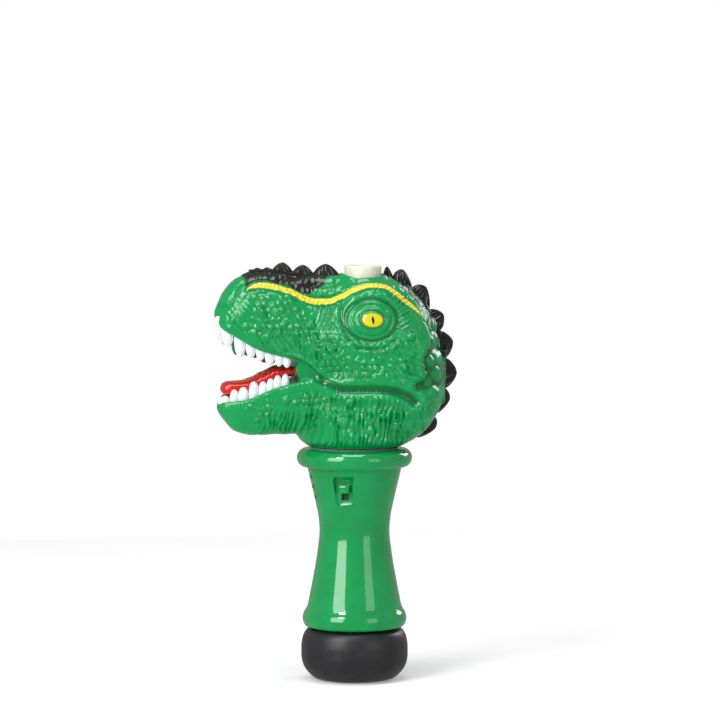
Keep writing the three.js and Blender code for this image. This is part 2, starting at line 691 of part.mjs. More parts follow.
function buildTube() {
  const loop = [];
  const level = 139.5;
  const turns = 8;
  for (let i = 0; i <= turns; i++) {
    const angle = Math.PI - (Math.PI * i) / turns;
    const x = PUMP.tubeLoop * Math.cos(angle);
    loop.push([x, PUMP_Y + PUMP.tubeLoop * Math.sin(angle), level]);
  }
  const path = [
    [-10.4, 6.2, TANK.low - GAP], [-10.4, 6.2, 148], [-10.4, 8.5, 141.5], [-10.4, 13, level],
    ...loop,
    [10.4, 13, level], [11.5, 8, 142], [15, 4, 147], [18.4, 2, 153], [18.6, 2, 165], [18.4, 2, 178],
    [18.2, 2, 183], [17.9, 2, 186.4],
  ];
  add("solution_tube", tube(path, 1.1, 0, 6, 44), FINISH.silicone);
}

// ---------------------------------------------------------------------------------------------
// Solution tank, air duct, mist and nozzle
// ---------------------------------------------------------------------------------------------

function tankShape(inset) {
  const half = TANK.halfWidth - inset;
  const front = TANK.front + inset;
  const back = TANK.back - inset;
  const r = TANK.corner - inset;
  const shape = new THREE.Shape();
  shape.absarc(half - r, back - r, r, 0, Math.PI / 2, false);
  shape.absarc(-half + r, back - r, r, Math.PI / 2, Math.PI, false);
  shape.absarc(-half + r, front + r, r, Math.PI, 1.5 * Math.PI, false);
  shape.absarc(half - r, front + r, r, 1.5 * Math.PI, 2 * Math.PI, false);
  return shape;
}

function buildTank() {
  const outlet = [0, OUTLET_Y];
  const cup = cut(
    raised(tankShape(0), TANK.low, TANK.top),
    raised(tankShape(TANK.wall), TANK.low + TANK.wall, TANK.top + 1),
  );
  const chimney = rod(CHIMNEY.outer, TANK.low, TANK.top, outlet, 24);
  add(
    "solution_tank",
    cut(join(cup, chimney), rod(CHIMNEY.inner, TANK.low - 1, TANK.top + 1, outlet, 24)),
    FINISH.milky,
  );

  const lock = NOZZLE_LOCK;
  const reach = NOZZLE.outer + lock.lugDepth;
  const lid = join(
    raised(tankShape(0), TANK.top + GAP, LID_TOP),
    rod(LID_COLLAR.outer, TANK.top + GAP, LID_COLLAR.top, outlet, ROUND),
  );
  add(
    "tank_lid",
    cut(
      lid,
      rod(CHIMNEY.inner, 180, LID_TOP + 1, outlet, 24),
      rod(LID_COLLAR.inner, LID_TOP, LID_COLLAR.top + 1, outlet, ROUND),
      ring(reach + GAP, LID_COLLAR.inner - 1, lock.low - GAP, lock.high + GAP, outlet, ROUND),
      sectors(LID_COLLAR.inner - 1, reach + GAP, lock.low, LID_COLLAR.top + 1, lock.turn, lock.slotHalf, outlet),
      rod(3.2, 180, LID_TOP + 1, [0, MIST_Y]),
    ),
    FINISH.milky,
  );

  add("mist_wick", rod(2.5, TANK.low + TANK.wall + GAP, LID_TOP, [0, MIST_Y]), FINISH.cotton);
  add("mist_disc", rod(3.8, LID_TOP + GAP, LID_TOP + 1.5, [0, MIST_Y], 24), FINISH.brass);
  add("air_duct", tube(DUCT_PATH, DUCT.outer, DUCT.inner, 12, 12), FINISH.milky);
  add("film_ring", ring(7.1, 5.1, DUCT.top + GAP, DUCT.top + 2, outlet, 24), FINISH.acetal);

  const pipe = turned(
    [
      [NOZZLE.bore, NOZZLE.low], [NOZZLE.outer, NOZZLE.low], [NOZZLE.outer, NOZZLE.top - 0.8],
      [NOZZLE.outer - 0.7, NOZZLE.top], [NOZZLE.bore, NOZZLE.top], [NOZZLE.bore, NOZZLE.low],
    ],
    32,
    outlet,
  );
  const lugs = sectors(NOZZLE.outer - 0.8, reach, lock.low, lock.high, 0, lock.lugHalf, outlet);
  add("nozzle", join(pipe, lugs), FINISH.cream);
}

// ---------------------------------------------------------------------------------------------
// Head shells, teeth, crests and tongue
// ---------------------------------------------------------------------------------------------

function headBody(neck, options) {
  const upper = ribbed(curveOf(CROWN_LINE), curveOf(UPPER_LIP_LINE), widthAt(UPPER_WIDTH), options);
  const lower = ribbed(curveOf(LOWER_LIP_LINE), curveOf(CHIN_LINE), widthAt(LOWER_WIDTH), options);
  return join(upper, lower, turned(neck));
}

function teeth(rows, width, inwards) {
  const solids = [];
  for (const [y, tip, length, wide] of rows) {
    const total = length + TOOTH.root;
    const beside = Math.max(TOOTH.beside * width(y), wide / 2 + 0.4);
    for (const side of [-1, 1]) {
      const cone = new THREE.ConeGeometry(wide / 2, total, 5);
      cone.scale(0.8, 1, 1).rotateX((inwards * Math.PI) / 2);
      solids.push(solidOf(cone.translate(side * beside, y, tip - (inwards * total) / 2)));
    }
  }
  return join(...solids);
}

function crestPart(line) {
  return band(line, 0.02, 0.98, -CREST.depth, 0.4, CREST.half);
}

function buildHead() {
  const nape = curveOf(NAPE_LINE);
  const brow = curveOf(BROW_LINE);
  const railDepth = CREST.depth + GAP + CREST.rail;
  const grooves = [nape, brow].map((line) =>
    band(line, 0, 1, -(CREST.depth + GAP), 14, CREST.half + GAP),
  );
  const rails = [nape, brow].map((line) => band(line, 0, 1, -railDepth, 3, CREST.half + GAP + CREST.rail));
  const throat = crossPlate(THROAT, THROAT_HALF_WIDTH);
  const body = headBody(NECK_OUTLINE, { ribs: 15, sides: 16 });
  const inside = headBody(NECK_INSIDE, { inset: WALL, ribs: 10, sides: 12 });
  const cavity = cut(inside, ...rails, throat, bossesFor(HEAD_SCREWS, body));
  const outer = join(
    body,
    throat,
    teeth(UPPER_TEETH, widthAt(UPPER_WIDTH), -1),
    teeth(LOWER_TEETH, widthAt(LOWER_WIDTH), 1),
  );
  const shell = cut(
    outer,
    cavity,
    ...grooves,
    rod(CROWN_HOLE, 186, 215, [0, OUTLET_Y], 36).intersect(block([-20, -20, 186], [20, 20, 199.4])),
    rod(NOZZLE.outer + 0.4, 186, 215, [0, OUTLET_Y], 36),
    rod(NECK_HOLE, NECK_BOTTOM - 1, NECK_BOTTOM + 5, [0, 0], ROUND),
    screwHolesFor(HEAD_SCREWS),
  );
  addHalves("head_shell", shell, FINISH.headGreen);
  addScrews("head_screw", HEAD_SCREWS);

  const snoutSpikes = SNOUT_SPIKES.map((points) => crossPlate([...points].reverse(), CREST.half));
  const napeSpikes = NAPE_SPIKES.map((points) => crossPlate([...points].reverse(), CREST.half));
  add("snout_crest", join(crestPart(brow), ...snoutSpikes), FINISH.crestBlack);
  add("nape_crest", join(crestPart(nape), ...napeSpikes), FINISH.crestBlack);

  const tongue = ribbed(curveOf(TONGUE_TOP), curveOf(TONGUE_BOTTOM), widthAt(TONGUE_WIDTH), {
    ribs: 12,
    sides: 14,
    start: 0.001,
  });
  add("tongue", tongue, FINISH.tongueRed);
}

// ---------------------------------------------------------------------------------------------
// Leads
// ---------------------------------------------------------------------------------------------

function buildLeads() {
  const radius = 0.55;
  const trayTop = TRAY.top + TRAY.plate + GAP;
  const leads = {
    battery_lead_positive: [[5, 3, trayTop], [6, 4, 66], [6.5, 9, 74], [5.5, 13.4, 80], [5, 13.4, 83.6]],
    battery_lead_negative: [[-5, 3, trayTop], [-6, 4, 66], [-6.5, 9, 74], [-5.5, 13.4, 80], [-5, 13.4, 83.6]],
    motor_lead_positive: [[2, 6, 78.6], [2, 6.6, 76.4], [2, 10.5, 76.8], [1.8, 13.2, 80], [1.8, 13.4, 83.6]],
    motor_lead_negative: [
      [-2, 6, 78.6], [-2, 6.6, 76.4], [-2, 10.5, 76.8], [-1.8, 13.2, 80], [-1.8, 13.4, 83.6],
    ],
  };
  for (const [name, path] of Object.entries(leads)) {
    const material = name.endsWith("positive") ? FINISH.redWire : FINISH.blackWire;
    add(name, tube(path, radius, 0, 6, 8), material);
  }
}

buildBase();
buildBatteries();
buildHandle();
buildSwitch();
buildDrive();
buildGears();
buildPump();
buildTube();
buildTank();
buildHead();
buildLeads();

export default root;
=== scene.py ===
"""The looks of a toy bubble machine: a moulded dinosaur head on an hourglass handle.

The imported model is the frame: every piece here rides on one of its bodies and stays inside its box.
Sculpting is done in millimetres and turned to metres when a mesh is made.
The toy faces -Y, its left side is +X, and +Z is up.
"""

from __future__ import annotations

import json
import logging
import math
from dataclasses import dataclass, field
from enum import Enum
from typing import Any, Sequence

import bmesh
import bpy
import numpy as np
import openvdb
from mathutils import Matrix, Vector


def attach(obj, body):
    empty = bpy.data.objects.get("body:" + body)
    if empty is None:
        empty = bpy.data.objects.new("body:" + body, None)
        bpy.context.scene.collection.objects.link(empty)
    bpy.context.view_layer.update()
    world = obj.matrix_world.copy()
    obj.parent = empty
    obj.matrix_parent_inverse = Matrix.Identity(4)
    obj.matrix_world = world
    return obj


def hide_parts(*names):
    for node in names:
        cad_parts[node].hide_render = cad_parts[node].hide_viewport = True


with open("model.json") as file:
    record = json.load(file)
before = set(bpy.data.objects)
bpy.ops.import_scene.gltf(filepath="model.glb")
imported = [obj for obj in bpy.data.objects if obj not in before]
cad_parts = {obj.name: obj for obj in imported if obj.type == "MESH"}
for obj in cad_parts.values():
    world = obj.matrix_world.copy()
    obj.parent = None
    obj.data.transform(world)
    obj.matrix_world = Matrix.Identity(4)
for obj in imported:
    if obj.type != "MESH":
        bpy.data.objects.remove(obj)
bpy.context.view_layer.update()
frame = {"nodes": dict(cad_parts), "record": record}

LOG = logging.getLogger("bubble_machine")
MM = 0.001
HOUSING = "housing"
SEAM = 0.15
STRIPE_REACH = 6.0

Pairs = Sequence[tuple[float, float]]
Array = np.ndarray


# Numbers along lines and over surfaces ---------------------


@dataclass(frozen=True)
class Line:
    """A height, or any other value, against a place along Y or Z, with no overshoot between pairs."""

    pairs: Pairs

    def __call__(self, at: Array | float) -> Array:
        """Give the line's value at each place, going straight on beyond its ends."""
        places, values = np.array(self.pairs, dtype=float).T
        slopes = np.diff(values) / np.diff(places)
        before, after = slopes[:-1], slopes[1:]
        same_way = before * after > 0
        middle = np.where(same_way, 2 * before * after / np.where(same_way, before + after, 1), 0)
        tangents = np.concatenate([slopes[:1], middle, slopes[-1:]])
        at = np.asarray(at, dtype=float)
        i = np.clip(np.searchsorted(places, at) - 1, 0, len(places) - 2)
        wide = places[i + 1] - places[i]
        s = (at - places[i]) / wide
        u = np.clip(s, 0, 1)
        m, n = tangents[i] * wide, tangents[i + 1] * wide
        ends = (1 + 2 * u) * (1 - u) ** 2 * values[i] + u**2 * (3 - 2 * u) * values[i + 1]
        bends = u * (1 - u) ** 2 * m + u**2 * (u - 1) * n
        return ends + bends + np.minimum(s, 0) * m + np.maximum(s - 1, 0) * n


def smooth_min(a: Array, b: Array, blend: float) -> Array:
    """Join two solids' distance fields with a fillet of about the blend's size."""
    h = np.clip(0.5 + 0.5 * (b - a) / blend, 0, 1)
    return b + (a - b) * h - blend * h * (1 - h)


def smooth_max(a: Array, b: Array, blend: float) -> Array:
    """Keep what two solids share, with the edge rounded by about the blend's size."""
    return -smooth_min(-a, -b, blend)


def ease(value: Array) -> Array:
    """Rise smoothly from 0 to 1 as the value does."""
    t = np.clip(value, 0, 1)
    return t * t * (3 - 2 * t)


def bell(distance: Array, width: float) -> Array:
    """Fall from 1 to 0 in a bell curve as the distance grows."""
    return np.exp(-((distance / width) ** 2))


def patch(y: Array, z: Array, ys: tuple[float, float], zs: tuple[float, float], soft: float = 3) -> Array:
    """Mask a rectangle whose edges fade out.

    Args:
        y: Points' first coordinates.
        z: Points' second coordinates.
        ys: Where the rectangle starts and ends along Y.
        zs: Where it starts and ends along Z.
        soft: How far the edges take to fade.

    Returns:
        1 inside and 0 outside.
    """
    across = ease((y - ys[0]) / soft + 0.5) * ease((ys[1] - y) / soft + 0.5)
    return across * ease((z - zs[0]) / soft + 0.5) * ease((zs[1] - z) / soft + 0.5)


def oval(y: Array, z: Array, centre: Sequence[float], radii: Sequence[float], tilt: float = 0) -> Array:
    """Measure how far out of an oval each point lies.

    Args:
        y: Points' first coordinates.
        z: Points' second coordinates.
        centre: The oval's middle.
        radii: Its half-length and half-width.
        tilt: Degrees that its length turns up from the Y axis.

    Returns:
        0 at the middle and 1 on the edge.
    """
    c, s = math.cos(math.radians(tilt)), math.sin(math.radians(tilt))
    dy, dz = y - centre[0], z - centre[1]
    return np.hypot((dy * c + dz * s) / radii[0], (dz * c - dy * s) / radii[1])


def to_path(points: Array, path: Array) -> tuple[Array, Array, Array]:
    """Find the nearest place on a path.

    Args:
        points: Points, one in each row.
        path: The path's corners, one in each row, with as many coordinates as the points.

    Returns:
        The distance to the path, the length along it up to the nearest place, and which side of
        the path the point is on in its last two coordinates: positive to the left.
    """
    best = np.full(len(points), 1e9)
    along = np.zeros(len(points))
    side = np.zeros(len(points))
    done = 0.0
    for start, end in zip(path[:-1], path[1:]):
        way = end - start
        length = float(np.linalg.norm(way))
        t = np.clip((points - start) @ way / length**2, 0, 1)
        off = points - start - t[:, None] * way
        distance = np.linalg.norm(off, axis=1)
        near = distance < best
        best = np.where(near, distance, best)
        along = np.where(near, done + t * length, along)
        side = np.where(near, way[-2] * off[:, -1] - way[-1] * off[:, -2], side)
        done += length
    return best, along, np.sign(side)


def smoothed(path: Sequence[Sequence[float]], steps: int = 6) -> Array:
    """Round the corners of a path by running a smooth line through them.

    Args:
        path: The corners, one in each row.
        steps: How many points each stretch between two corners gets.

    Returns:
        The rounded path's points, one in each row.
    """
    corners = np.array(path, dtype=float)
    lengths = np.concatenate([[0], np.cumsum(np.linalg.norm(np.diff(corners, axis=0), axis=1))])
    at = np.linspace(0, lengths[-1], steps * (len(path) - 1) + 1)
    columns = [Line(list(zip(lengths, column)))(at) for column in corners.T]
    return np.stack(columns, axis=1)


class Cells:
    """Points scattered one to a cell of a square grid, for scales and wrinkles."""

    SIZE = 64

    def __init__(self, seed: int, loose: float = 0.76) -> None:
        """Draw the points' places once, from a fixed seed: the looser, the less even."""
        rng = np.random.default_rng(seed)
        self.shift = 0.5 + loose * (rng.uniform(0, 1, (self.SIZE, self.SIZE, 2)) - 0.5)
        self.worth = rng.uniform(0, 1, (self.SIZE, self.SIZE))

    def nearest(self, a: Array, b: Array) -> tuple[Array, Array, Array]:
        """Measure to the two nearest points.

        Args:
            a: First coordinates, in cells.
            b: Second coordinates, in cells.

        Returns:
            The distances to the nearest and next nearest point, and the nearest point's own worth.
        """
        first = np.full(a.shape, 9.0)
        second = np.full(a.shape, 9.0)
        worth = np.zeros(a.shape)
        column, row = np.floor(a).astype(int), np.floor(b).astype(int)
        for i in (-1, 0, 1):
            for j in (-1, 0, 1):
                ci, cj = column + i, row + j
                shift = self.shift[ci % self.SIZE, cj % self.SIZE]
                distance = np.hypot(ci + shift[..., 0] - a, cj + shift[..., 1] - b)
                closer = distance < first
                second = np.where(closer, first, np.minimum(second, distance))
                worth = np.where(closer, self.worth[ci % self.SIZE, cj % self.SIZE], worth)
                first = np.where(closer, distance, first)
        return first, second, worth

    def cloud(self, a: Array, b: Array) -> Array:
        """Give a smooth random value between -1 and 1 at each place."""
        column, row = np.floor(a).astype(int), np.floor(b).astype(int)
        u, v = ease(a - column), ease(b - row)
        n = self.SIZE
        low = self.worth[column % n, row % n] * (1 - u) + self.worth[(column + 1) % n, row % n] * u
        row = row + 1
        high = self.worth[column % n, row % n] * (1 - u) + self.worth[(column + 1) % n, row % n] * u
        return 2 * (low * (1 - v) + high * v) - 1


# Meshes ----------------------------------------------------


def mesh_object(name: str, points: Array, faces: Sequence, smooth: bool = True) -> bpy.types.Object:
    """Make an object from points in millimetres and its faces.

    Args:
        name: The object's name.
        points: One point in each row.
        faces: Each face's corners, as point numbers.
        smooth: Whether its faces are shaded as one rounded surface.

    Returns:
        The object, linked to the scene.
    """
    mesh = bpy.data.meshes.new(name)
    places = (np.asarray(points, dtype=float) * MM).tolist()
    mesh.from_pydata(places, [], np.asarray(faces, dtype=object).tolist())
    mesh.polygons.foreach_set("use_smooth", np.full(len(mesh.polygons), smooth))
    mesh.update()
    return linked(name, mesh)


def linked(name: str, mesh: bpy.types.Mesh) -> bpy.types.Object:
    """Put a mesh in the scene as an object."""
    item = bpy.data.objects.new(name, mesh)
    bpy.context.scene.collection.objects.link(item)
    return item


def set_attribute(item: bpy.types.Object, name: str, values: Array) -> None:
    """Store one number for each point of the object's mesh."""
    data = item.data.attributes.new(name, "FLOAT", "POINT")
    data.data.foreach_set("value", np.asarray(values, dtype=np.float32))


def vertex_normals(points: Array, quads: Array) -> Array:
    """Work out each point's normal as the mean of its faces' normals."""
    facing = np.cross(points[quads[:, 2]] - points[quads[:, 0]], points[quads[:, 3]] - points[quads[:, 1]])
    normals = np.zeros_like(points)
    for corner in range(4):
        np.add.at(normals, quads[:, corner], facing)
    return normals / np.maximum(np.linalg.norm(normals, axis=1, keepdims=True), 1e-9)


@dataclass(frozen=True)
class Grid:
    """A box of evenly spaced sample points, in millimetres."""

    low: tuple[float, float, float]
    high: tuple[float, float, float]
    step: float

    def axes(self) -> list[Array]:
        """Give the sample points' X, Y and Z, ready to be combined."""
        lines = [np.arange(a, b + self.step, self.step) for a, b in zip(self.low, self.high)]
        return list(np.meshgrid(*lines, indexing="ij", sparse=True))

    def true_size(self, values: Array) -> Array:
        """Turn any field into a distance near its surface, by dividing it by its own slope."""
        slopes = np.gradient(values.astype(np.float32), self.step)
        return values / np.maximum(np.sqrt(sum(s * s for s in slopes)), 0.02)

    def skin(self, values: Array) -> tuple[Array, Array]:
        """Draw the surface where a field is zero.

        Args:
            values: The field at the sample points: negative inside the solid.

        Returns:
            Points, and faces of four points each that look outwards.
        """
        reach = 3 * self.step
        values = np.clip(values, -reach, reach).astype(np.float32)
        for axis in range(3):
            for end in (0, -1):
                edge: list[Any] = [slice(None)] * 3
                edge[axis] = end
                values[tuple(edge)] = reach
        grid = openvdb.FloatGrid(reach)
        grid.copyFromArray(values)
        grid.transform = openvdb.createLinearTransform(self.step)
        points, quads = grid.convertToQuads(isovalue=0.0)
        return np.asarray(points, dtype=float) + np.array(self.low), np.asarray(quads)[:, ::-1]


def turned_mesh(profile: Pairs, sides: int, centre: Sequence[float] = (0, 0)) -> tuple[Array, list]:
    """Turn a profile about an upright axis.

    Args:
        profile: Radius and height pairs, up the outside and down the inside, ending on the axis
            or back at the first pair.
        sides: How many sides the turned piece has.
        centre: X and Y of the axis.

    Returns:
        Points in millimetres, and faces.
    """
    closed = tuple(profile[0]) == tuple(profile[-1])
    points: list[tuple[float, float, float]] = []
    rings: list[list[int]] = []
    for radius, height in profile[:-1] if closed else profile:
        start = len(points)
        if radius < 1e-6:
            points.append((centre[0], centre[1], height))
            rings.append([start] * sides)
            continue
        for i in range(sides):
            angle = 2 * math.pi * i / sides
            x = centre[0] + radius * math.cos(angle)
            y = centre[1] + radius * math.sin(angle)
            points.append((x, y, height))
        rings.append(list(range(start, start + sides)))
    faces = []
    for low, high in zip(rings, rings[1:] + (rings[:1] if closed else [])):
        for i in range(sides):
            j = (i + 1) % sides
            corners = [low[i], low[j], high[j], high[i]]
            face = [c for n, c in enumerate(corners) if c != corners[n - 1]]
            if len(face) > 2:
                faces.append(face)
    return np.array(points), faces


def turned(name: str, profile: Pairs, sides: int, centre: Sequence[float] = (0, 0)) -> bpy.types.Object:
    """Make a turned object from a profile in millimetres."""
    points, faces = turned_mesh(profile, sides, centre)
    mesh = bpy.data.meshes.new(name)
    mesh.from_pydata((points * MM).tolist(), [], faces)
    mesh.polygons.foreach_set("use_smooth", np.full(len(mesh.polygons), True))
    return linked(name, mesh)


def arc(centre: Sequence[float], radius: float, start: float, end: float, steps: int = 6) -> list:
    """List points on an arc, with angles in degrees."""
    angles = np.radians(np.linspace(start, end, steps + 1))
    return [(centre[0] + radius * math.cos(a), centre[1] + radius * math.sin(a)) for a in angles]


def prism(name: str, outline: Pairs, low: float, high: float) -> bpy.types.Object:
    """Make a solid from an outline of Y and Z pairs, between two places along X."""
    count = len(outline)
    area = sum(a[0] * b[1] - b[0] * a[1] for a, b in zip(outline, [*outline[1:], outline[0]]))
    outline = list(outline) if area > 0 else list(outline)[::-1]
    points = [(x, y, z) for x in (low, high) for y, z in outline]
    walls = [[i, (i + 1) % count, count + (i + 1) % count, count + i] for i in range(count)]
    mesh = bpy.data.meshes.new(name)
    faces = [list(range(count))[::-1], list(range(count, 2 * count)), *walls]
    mesh.from_pydata((np.array(points) * MM).tolist(), [], faces)
    return linked(name, mesh)


class Sum(Enum):
    """How one solid is combined with another."""

    CUT = "DIFFERENCE"
    ADD = "UNION"
    SHARE = "INTERSECT"


def combined(item: bpy.types.Object, how: Sum, *tools: bpy.types.Object) -> bpy.types.Object:
    """Cut tools out of an object, join them on, or keep what they share, and remove the tools."""
    for tool in tools:
        step = item.modifiers.new(how.name, "BOOLEAN")
        step.operation = how.value
        step.solver = "MANIFOLD"
        step.object = tool
    made = plain_mesh(item)
    for tool in tools:
        mesh = tool.data
        bpy.data.objects.remove(tool)
        bpy.data.meshes.remove(mesh)
    return made


def plain_mesh(item: bpy.types.Object) -> bpy.types.Object:
    """Turn an object's modifiers into its own mesh."""
    graph = bpy.context.evaluated_depsgraph_get()
    graph.update()
    mesh = bpy.data.meshes.new_from_object(item.evaluated_get(graph), depsgraph=graph)
    item.modifiers.clear()
    item.data = mesh
    mesh.name = item.name
    return item


def joined(name: str, items: Sequence[bpy.types.Object]) -> bpy.types.Object:
    """Make one object of several, keeping their materials and attributes."""
    for other in bpy.context.selected_objects:
        other.select_set(False)
    for item in items:
        item.select_set(True)
    bpy.context.view_layer.objects.active = items[0]
    with bpy.context.temp_override(active_object=items[0], selected_editable_objects=list(items)):
        bpy.ops.object.join()
    items[0].name = name
    items[0].data.name = name
    return items[0]


def mirrored(item: bpy.types.Object, name: str) -> bpy.types.Object:
    """Copy an object to the other side of the middle plane, with its faces still outwards."""
    mesh = item.data.copy()
    places = np.empty(len(mesh.vertices) * 3)
    mesh.vertices.foreach_get("co", places)
    places[0::3] *= -1
    mesh.vertices.foreach_set("co", places)
    mesh.flip_normals()
    mesh.update()
    return linked(name, mesh)


def crease(item: bpy.types.Object, angle: float) -> bpy.types.Object:
    """Shade smooth, but keep edges sharper than an angle in degrees."""
    item.data.polygons.foreach_set("use_smooth", np.full(len(item.data.polygons), True))
    item.data.set_sharp_from_angle(angle=math.radians(angle))
    return item


# Shaders ---------------------------------------------------

Colour = tuple[float, float, float]


class Value:
    """A shader value that takes part in arithmetic, adding a Math node for each step."""

    def __init__(self, shader: "Shader", socket: bpy.types.NodeSocket) -> None:
        """Wrap a socket of one of the shader's nodes."""
        self.shader = shader
        self.socket = socket

    def maths(self, operation: str, first: Any, second: Any = 0.0, third: Any = 0.0) -> "Value":
        """Add one Math node and give its result."""
        made = self.shader.node("ShaderNodeMath", {"operation": operation}, {0: first, 1: second, 2: third})
        return Value(self.shader, made.outputs[0])

    def __add__(self, other: Any) -> "Value":
        """Add."""
        return self.maths("ADD", self, other)

    def __sub__(self, other: Any) -> "Value":
        """Take away."""
        return self.maths("SUBTRACT", self, other)

    def __rsub__(self, other: Any) -> "Value":
        """Take away from a number."""
        return self.maths("SUBTRACT", other, self)

    def __mul__(self, other: Any) -> "Value":
        """Multiply."""
        return self.maths("MULTIPLY", self, other)

    def __truediv__(self, other: Any) -> "Value":
        """Divide."""
        return self.maths("DIVIDE", self, other)

    def __pow__(self, other: Any) -> "Value":
        """Raise to a power."""
        return self.maths("POWER", self, other)

    __radd__ = __add__
    __rmul__ = __mul__

    def root(self) -> "Value":
        """Take the square root."""
        return self.maths("SQRT", self)

    def size(self) -> "Value":
        """Drop the sign."""
        return self.maths("ABSOLUTE", self)

    def step(self, low: float, high: float) -> "Value":
        """Rise smoothly from 0 to 1 between two values, or fall where low is over high."""
        settings = {"interpolation_type": "SMOOTHSTEP"}
        made = self.shader.node(
            "ShaderNodeMapRange", settings, {0: self, 1: min(low, high), 2: max(low, high), 3: 0.0, 4: 1.0}
        )
        rising = Value(self.shader, made.outputs[0])
        return rising if high > low else 1 - rising


class Shader:
    """One procedural material under construction."""

    def __init__(self, name: str, roughness: float, metallic: float = 0, **constants: float) -> None:
        """Start a material.

        Args:
            name: The material's name.
            roughness: Its roughness where nothing else is linked.
            metallic: 1 for bare metal.
            constants: More of the shader's own sockets, with spaces written as underscores.
        """
        self.material = bpy.data.materials.new(name)
        self.material.use_nodes = True
        self.tree = self.material.node_tree
        self.surface = self.tree.nodes["Principled BSDF"]
        self.surface.inputs["Roughness"].default_value = roughness
        self.surface.inputs["Metallic"].default_value = metallic
        for key, value in constants.items():
            self.surface.inputs[key.replace("_", " ")].default_value = value
        self.coordinates = self.node("ShaderNodeTexCoord").outputs["Object"]

    def node(self, kind: str, settings: dict | None = None, inputs: dict | None = None) -> bpy.types.Node:
        """Add a node.

        Args:
            kind: The node's type.
            settings: Its own settings, which are set first.
            inputs: Values or links for its sockets, by name or number.

        Returns:
            The node.
        """
        made = self.tree.nodes.new(kind)
        for key, value in (settings or {}).items():
            setattr(made, key, value)
        for key, value in (inputs or {}).items():
            if isinstance(value, Value):
                value = value.socket
            if isinstance(value, bpy.types.NodeSocket):
                self.tree.links.new(value, made.inputs[key])
            else:
                made.inputs[key].default_value = value
        return made

    def place(self) -> tuple[Value, Value, Value]:
        """Give X, Y and Z in millimetres."""
        parts = self.node("ShaderNodeSeparateXYZ", inputs={0: self.coordinates}).outputs
        return tuple(Value(self, part) * (1 / MM) for part in parts)

    def attribute(self, name: str) -> Value:
        """Read a number that is stored on the mesh."""
        return Value(self, self.node("ShaderNodeAttribute", {"attribute_name": name}).outputs["Fac"])

    def noise(
        self, size: float, detail: float = 3, rough: float = 0.55, stretch: Colour = (1, 1, 1)
    ) -> Value:
        """Make noise between 0 and 1.

        Args:
            size: How far apart its lumps are, in millimetres.
            detail: How many finer layers it has.
            rough: How strong they are.
            stretch: How many times denser the lumps are along each axis.

        Returns:
            The noise.
        """
        places = {0: self.coordinates, 1: stretch}
        moved = self.node("ShaderNodeVectorMath", {"operation": "MULTIPLY"}, places)
        inputs = {"Vector": moved.outputs[0], "Scale": 1 / (size * MM), "Detail": detail, "Roughness": rough}
        return Value(self, self.node("ShaderNodeTexNoise", inputs=inputs).outputs[0])

    def mix(self, factor: Any, first: Any, second: Any) -> bpy.types.NodeSocket:
        """Blend two colours.

        Args:
            factor: 0 for the first colour and 1 for the second.
            first: A colour or a colour socket.
            second: A colour or a colour socket.

        Returns:
            The blended colour's socket.
        """
        colours = [(*c, 1) if isinstance(c, tuple) else c for c in (first, second)]
        made = self.node("ShaderNodeMix", {"data_type": "RGBA"}, {0: factor, 6: colours[0], 7: colours[1]})
        return made.outputs[2]

    def feed(self, **links: Any) -> None:
        """Link sockets of the shader, with spaces written as underscores."""
        for key, value in links.items():
            socket = self.surface.inputs[key.replace("_", " ")]
            if isinstance(value, tuple):
                socket.default_value = (*value, 1)
            else:
                self.tree.links.new(value.socket if isinstance(value, Value) else value, socket)

    def relief(self, height: Value, depth: float) -> None:
        """Raise the surface's shading by a height between 0 and 1, times a depth in millimetres."""
        inputs = {"Height": height, "Distance": depth * MM, "Strength": 1.0}
        self.feed(Normal=self.node("ShaderNodeBump", inputs=inputs).outputs[0])


@dataclass(frozen=True)
class Finish:
    """A plain part's finish: two close colours in soft clouds, and a fine surface."""

    slot: str
    colour: Colour
    other: Colour
    rough: tuple[float, float]
    cloud: float = 6
    grain: float = 0.35
    depth: float = 0.03
    metallic: float = 0
    coat: float = 0
    stretch: Colour = (1, 1, 1)

    def material(self) -> bpy.types.Material:
        """Build the material."""
        shader = Shader(self.slot, self.rough[0], self.metallic, Coat_Weight=self.coat, Coat_Roughness=0.08)
        clouds = shader.noise(self.cloud)
        fine = shader.noise(self.grain, 2, 0.6, self.stretch)
        shader.feed(Base_Color=shader.mix(clouds.step(0.3, 0.7), self.colour, self.other))
        shader.feed(Roughness=fine.step(0.25, 0.75) * (self.rough[1] - self.rough[0]) + self.rough[0])
        shader.relief(fine, self.depth)
        return shader.material


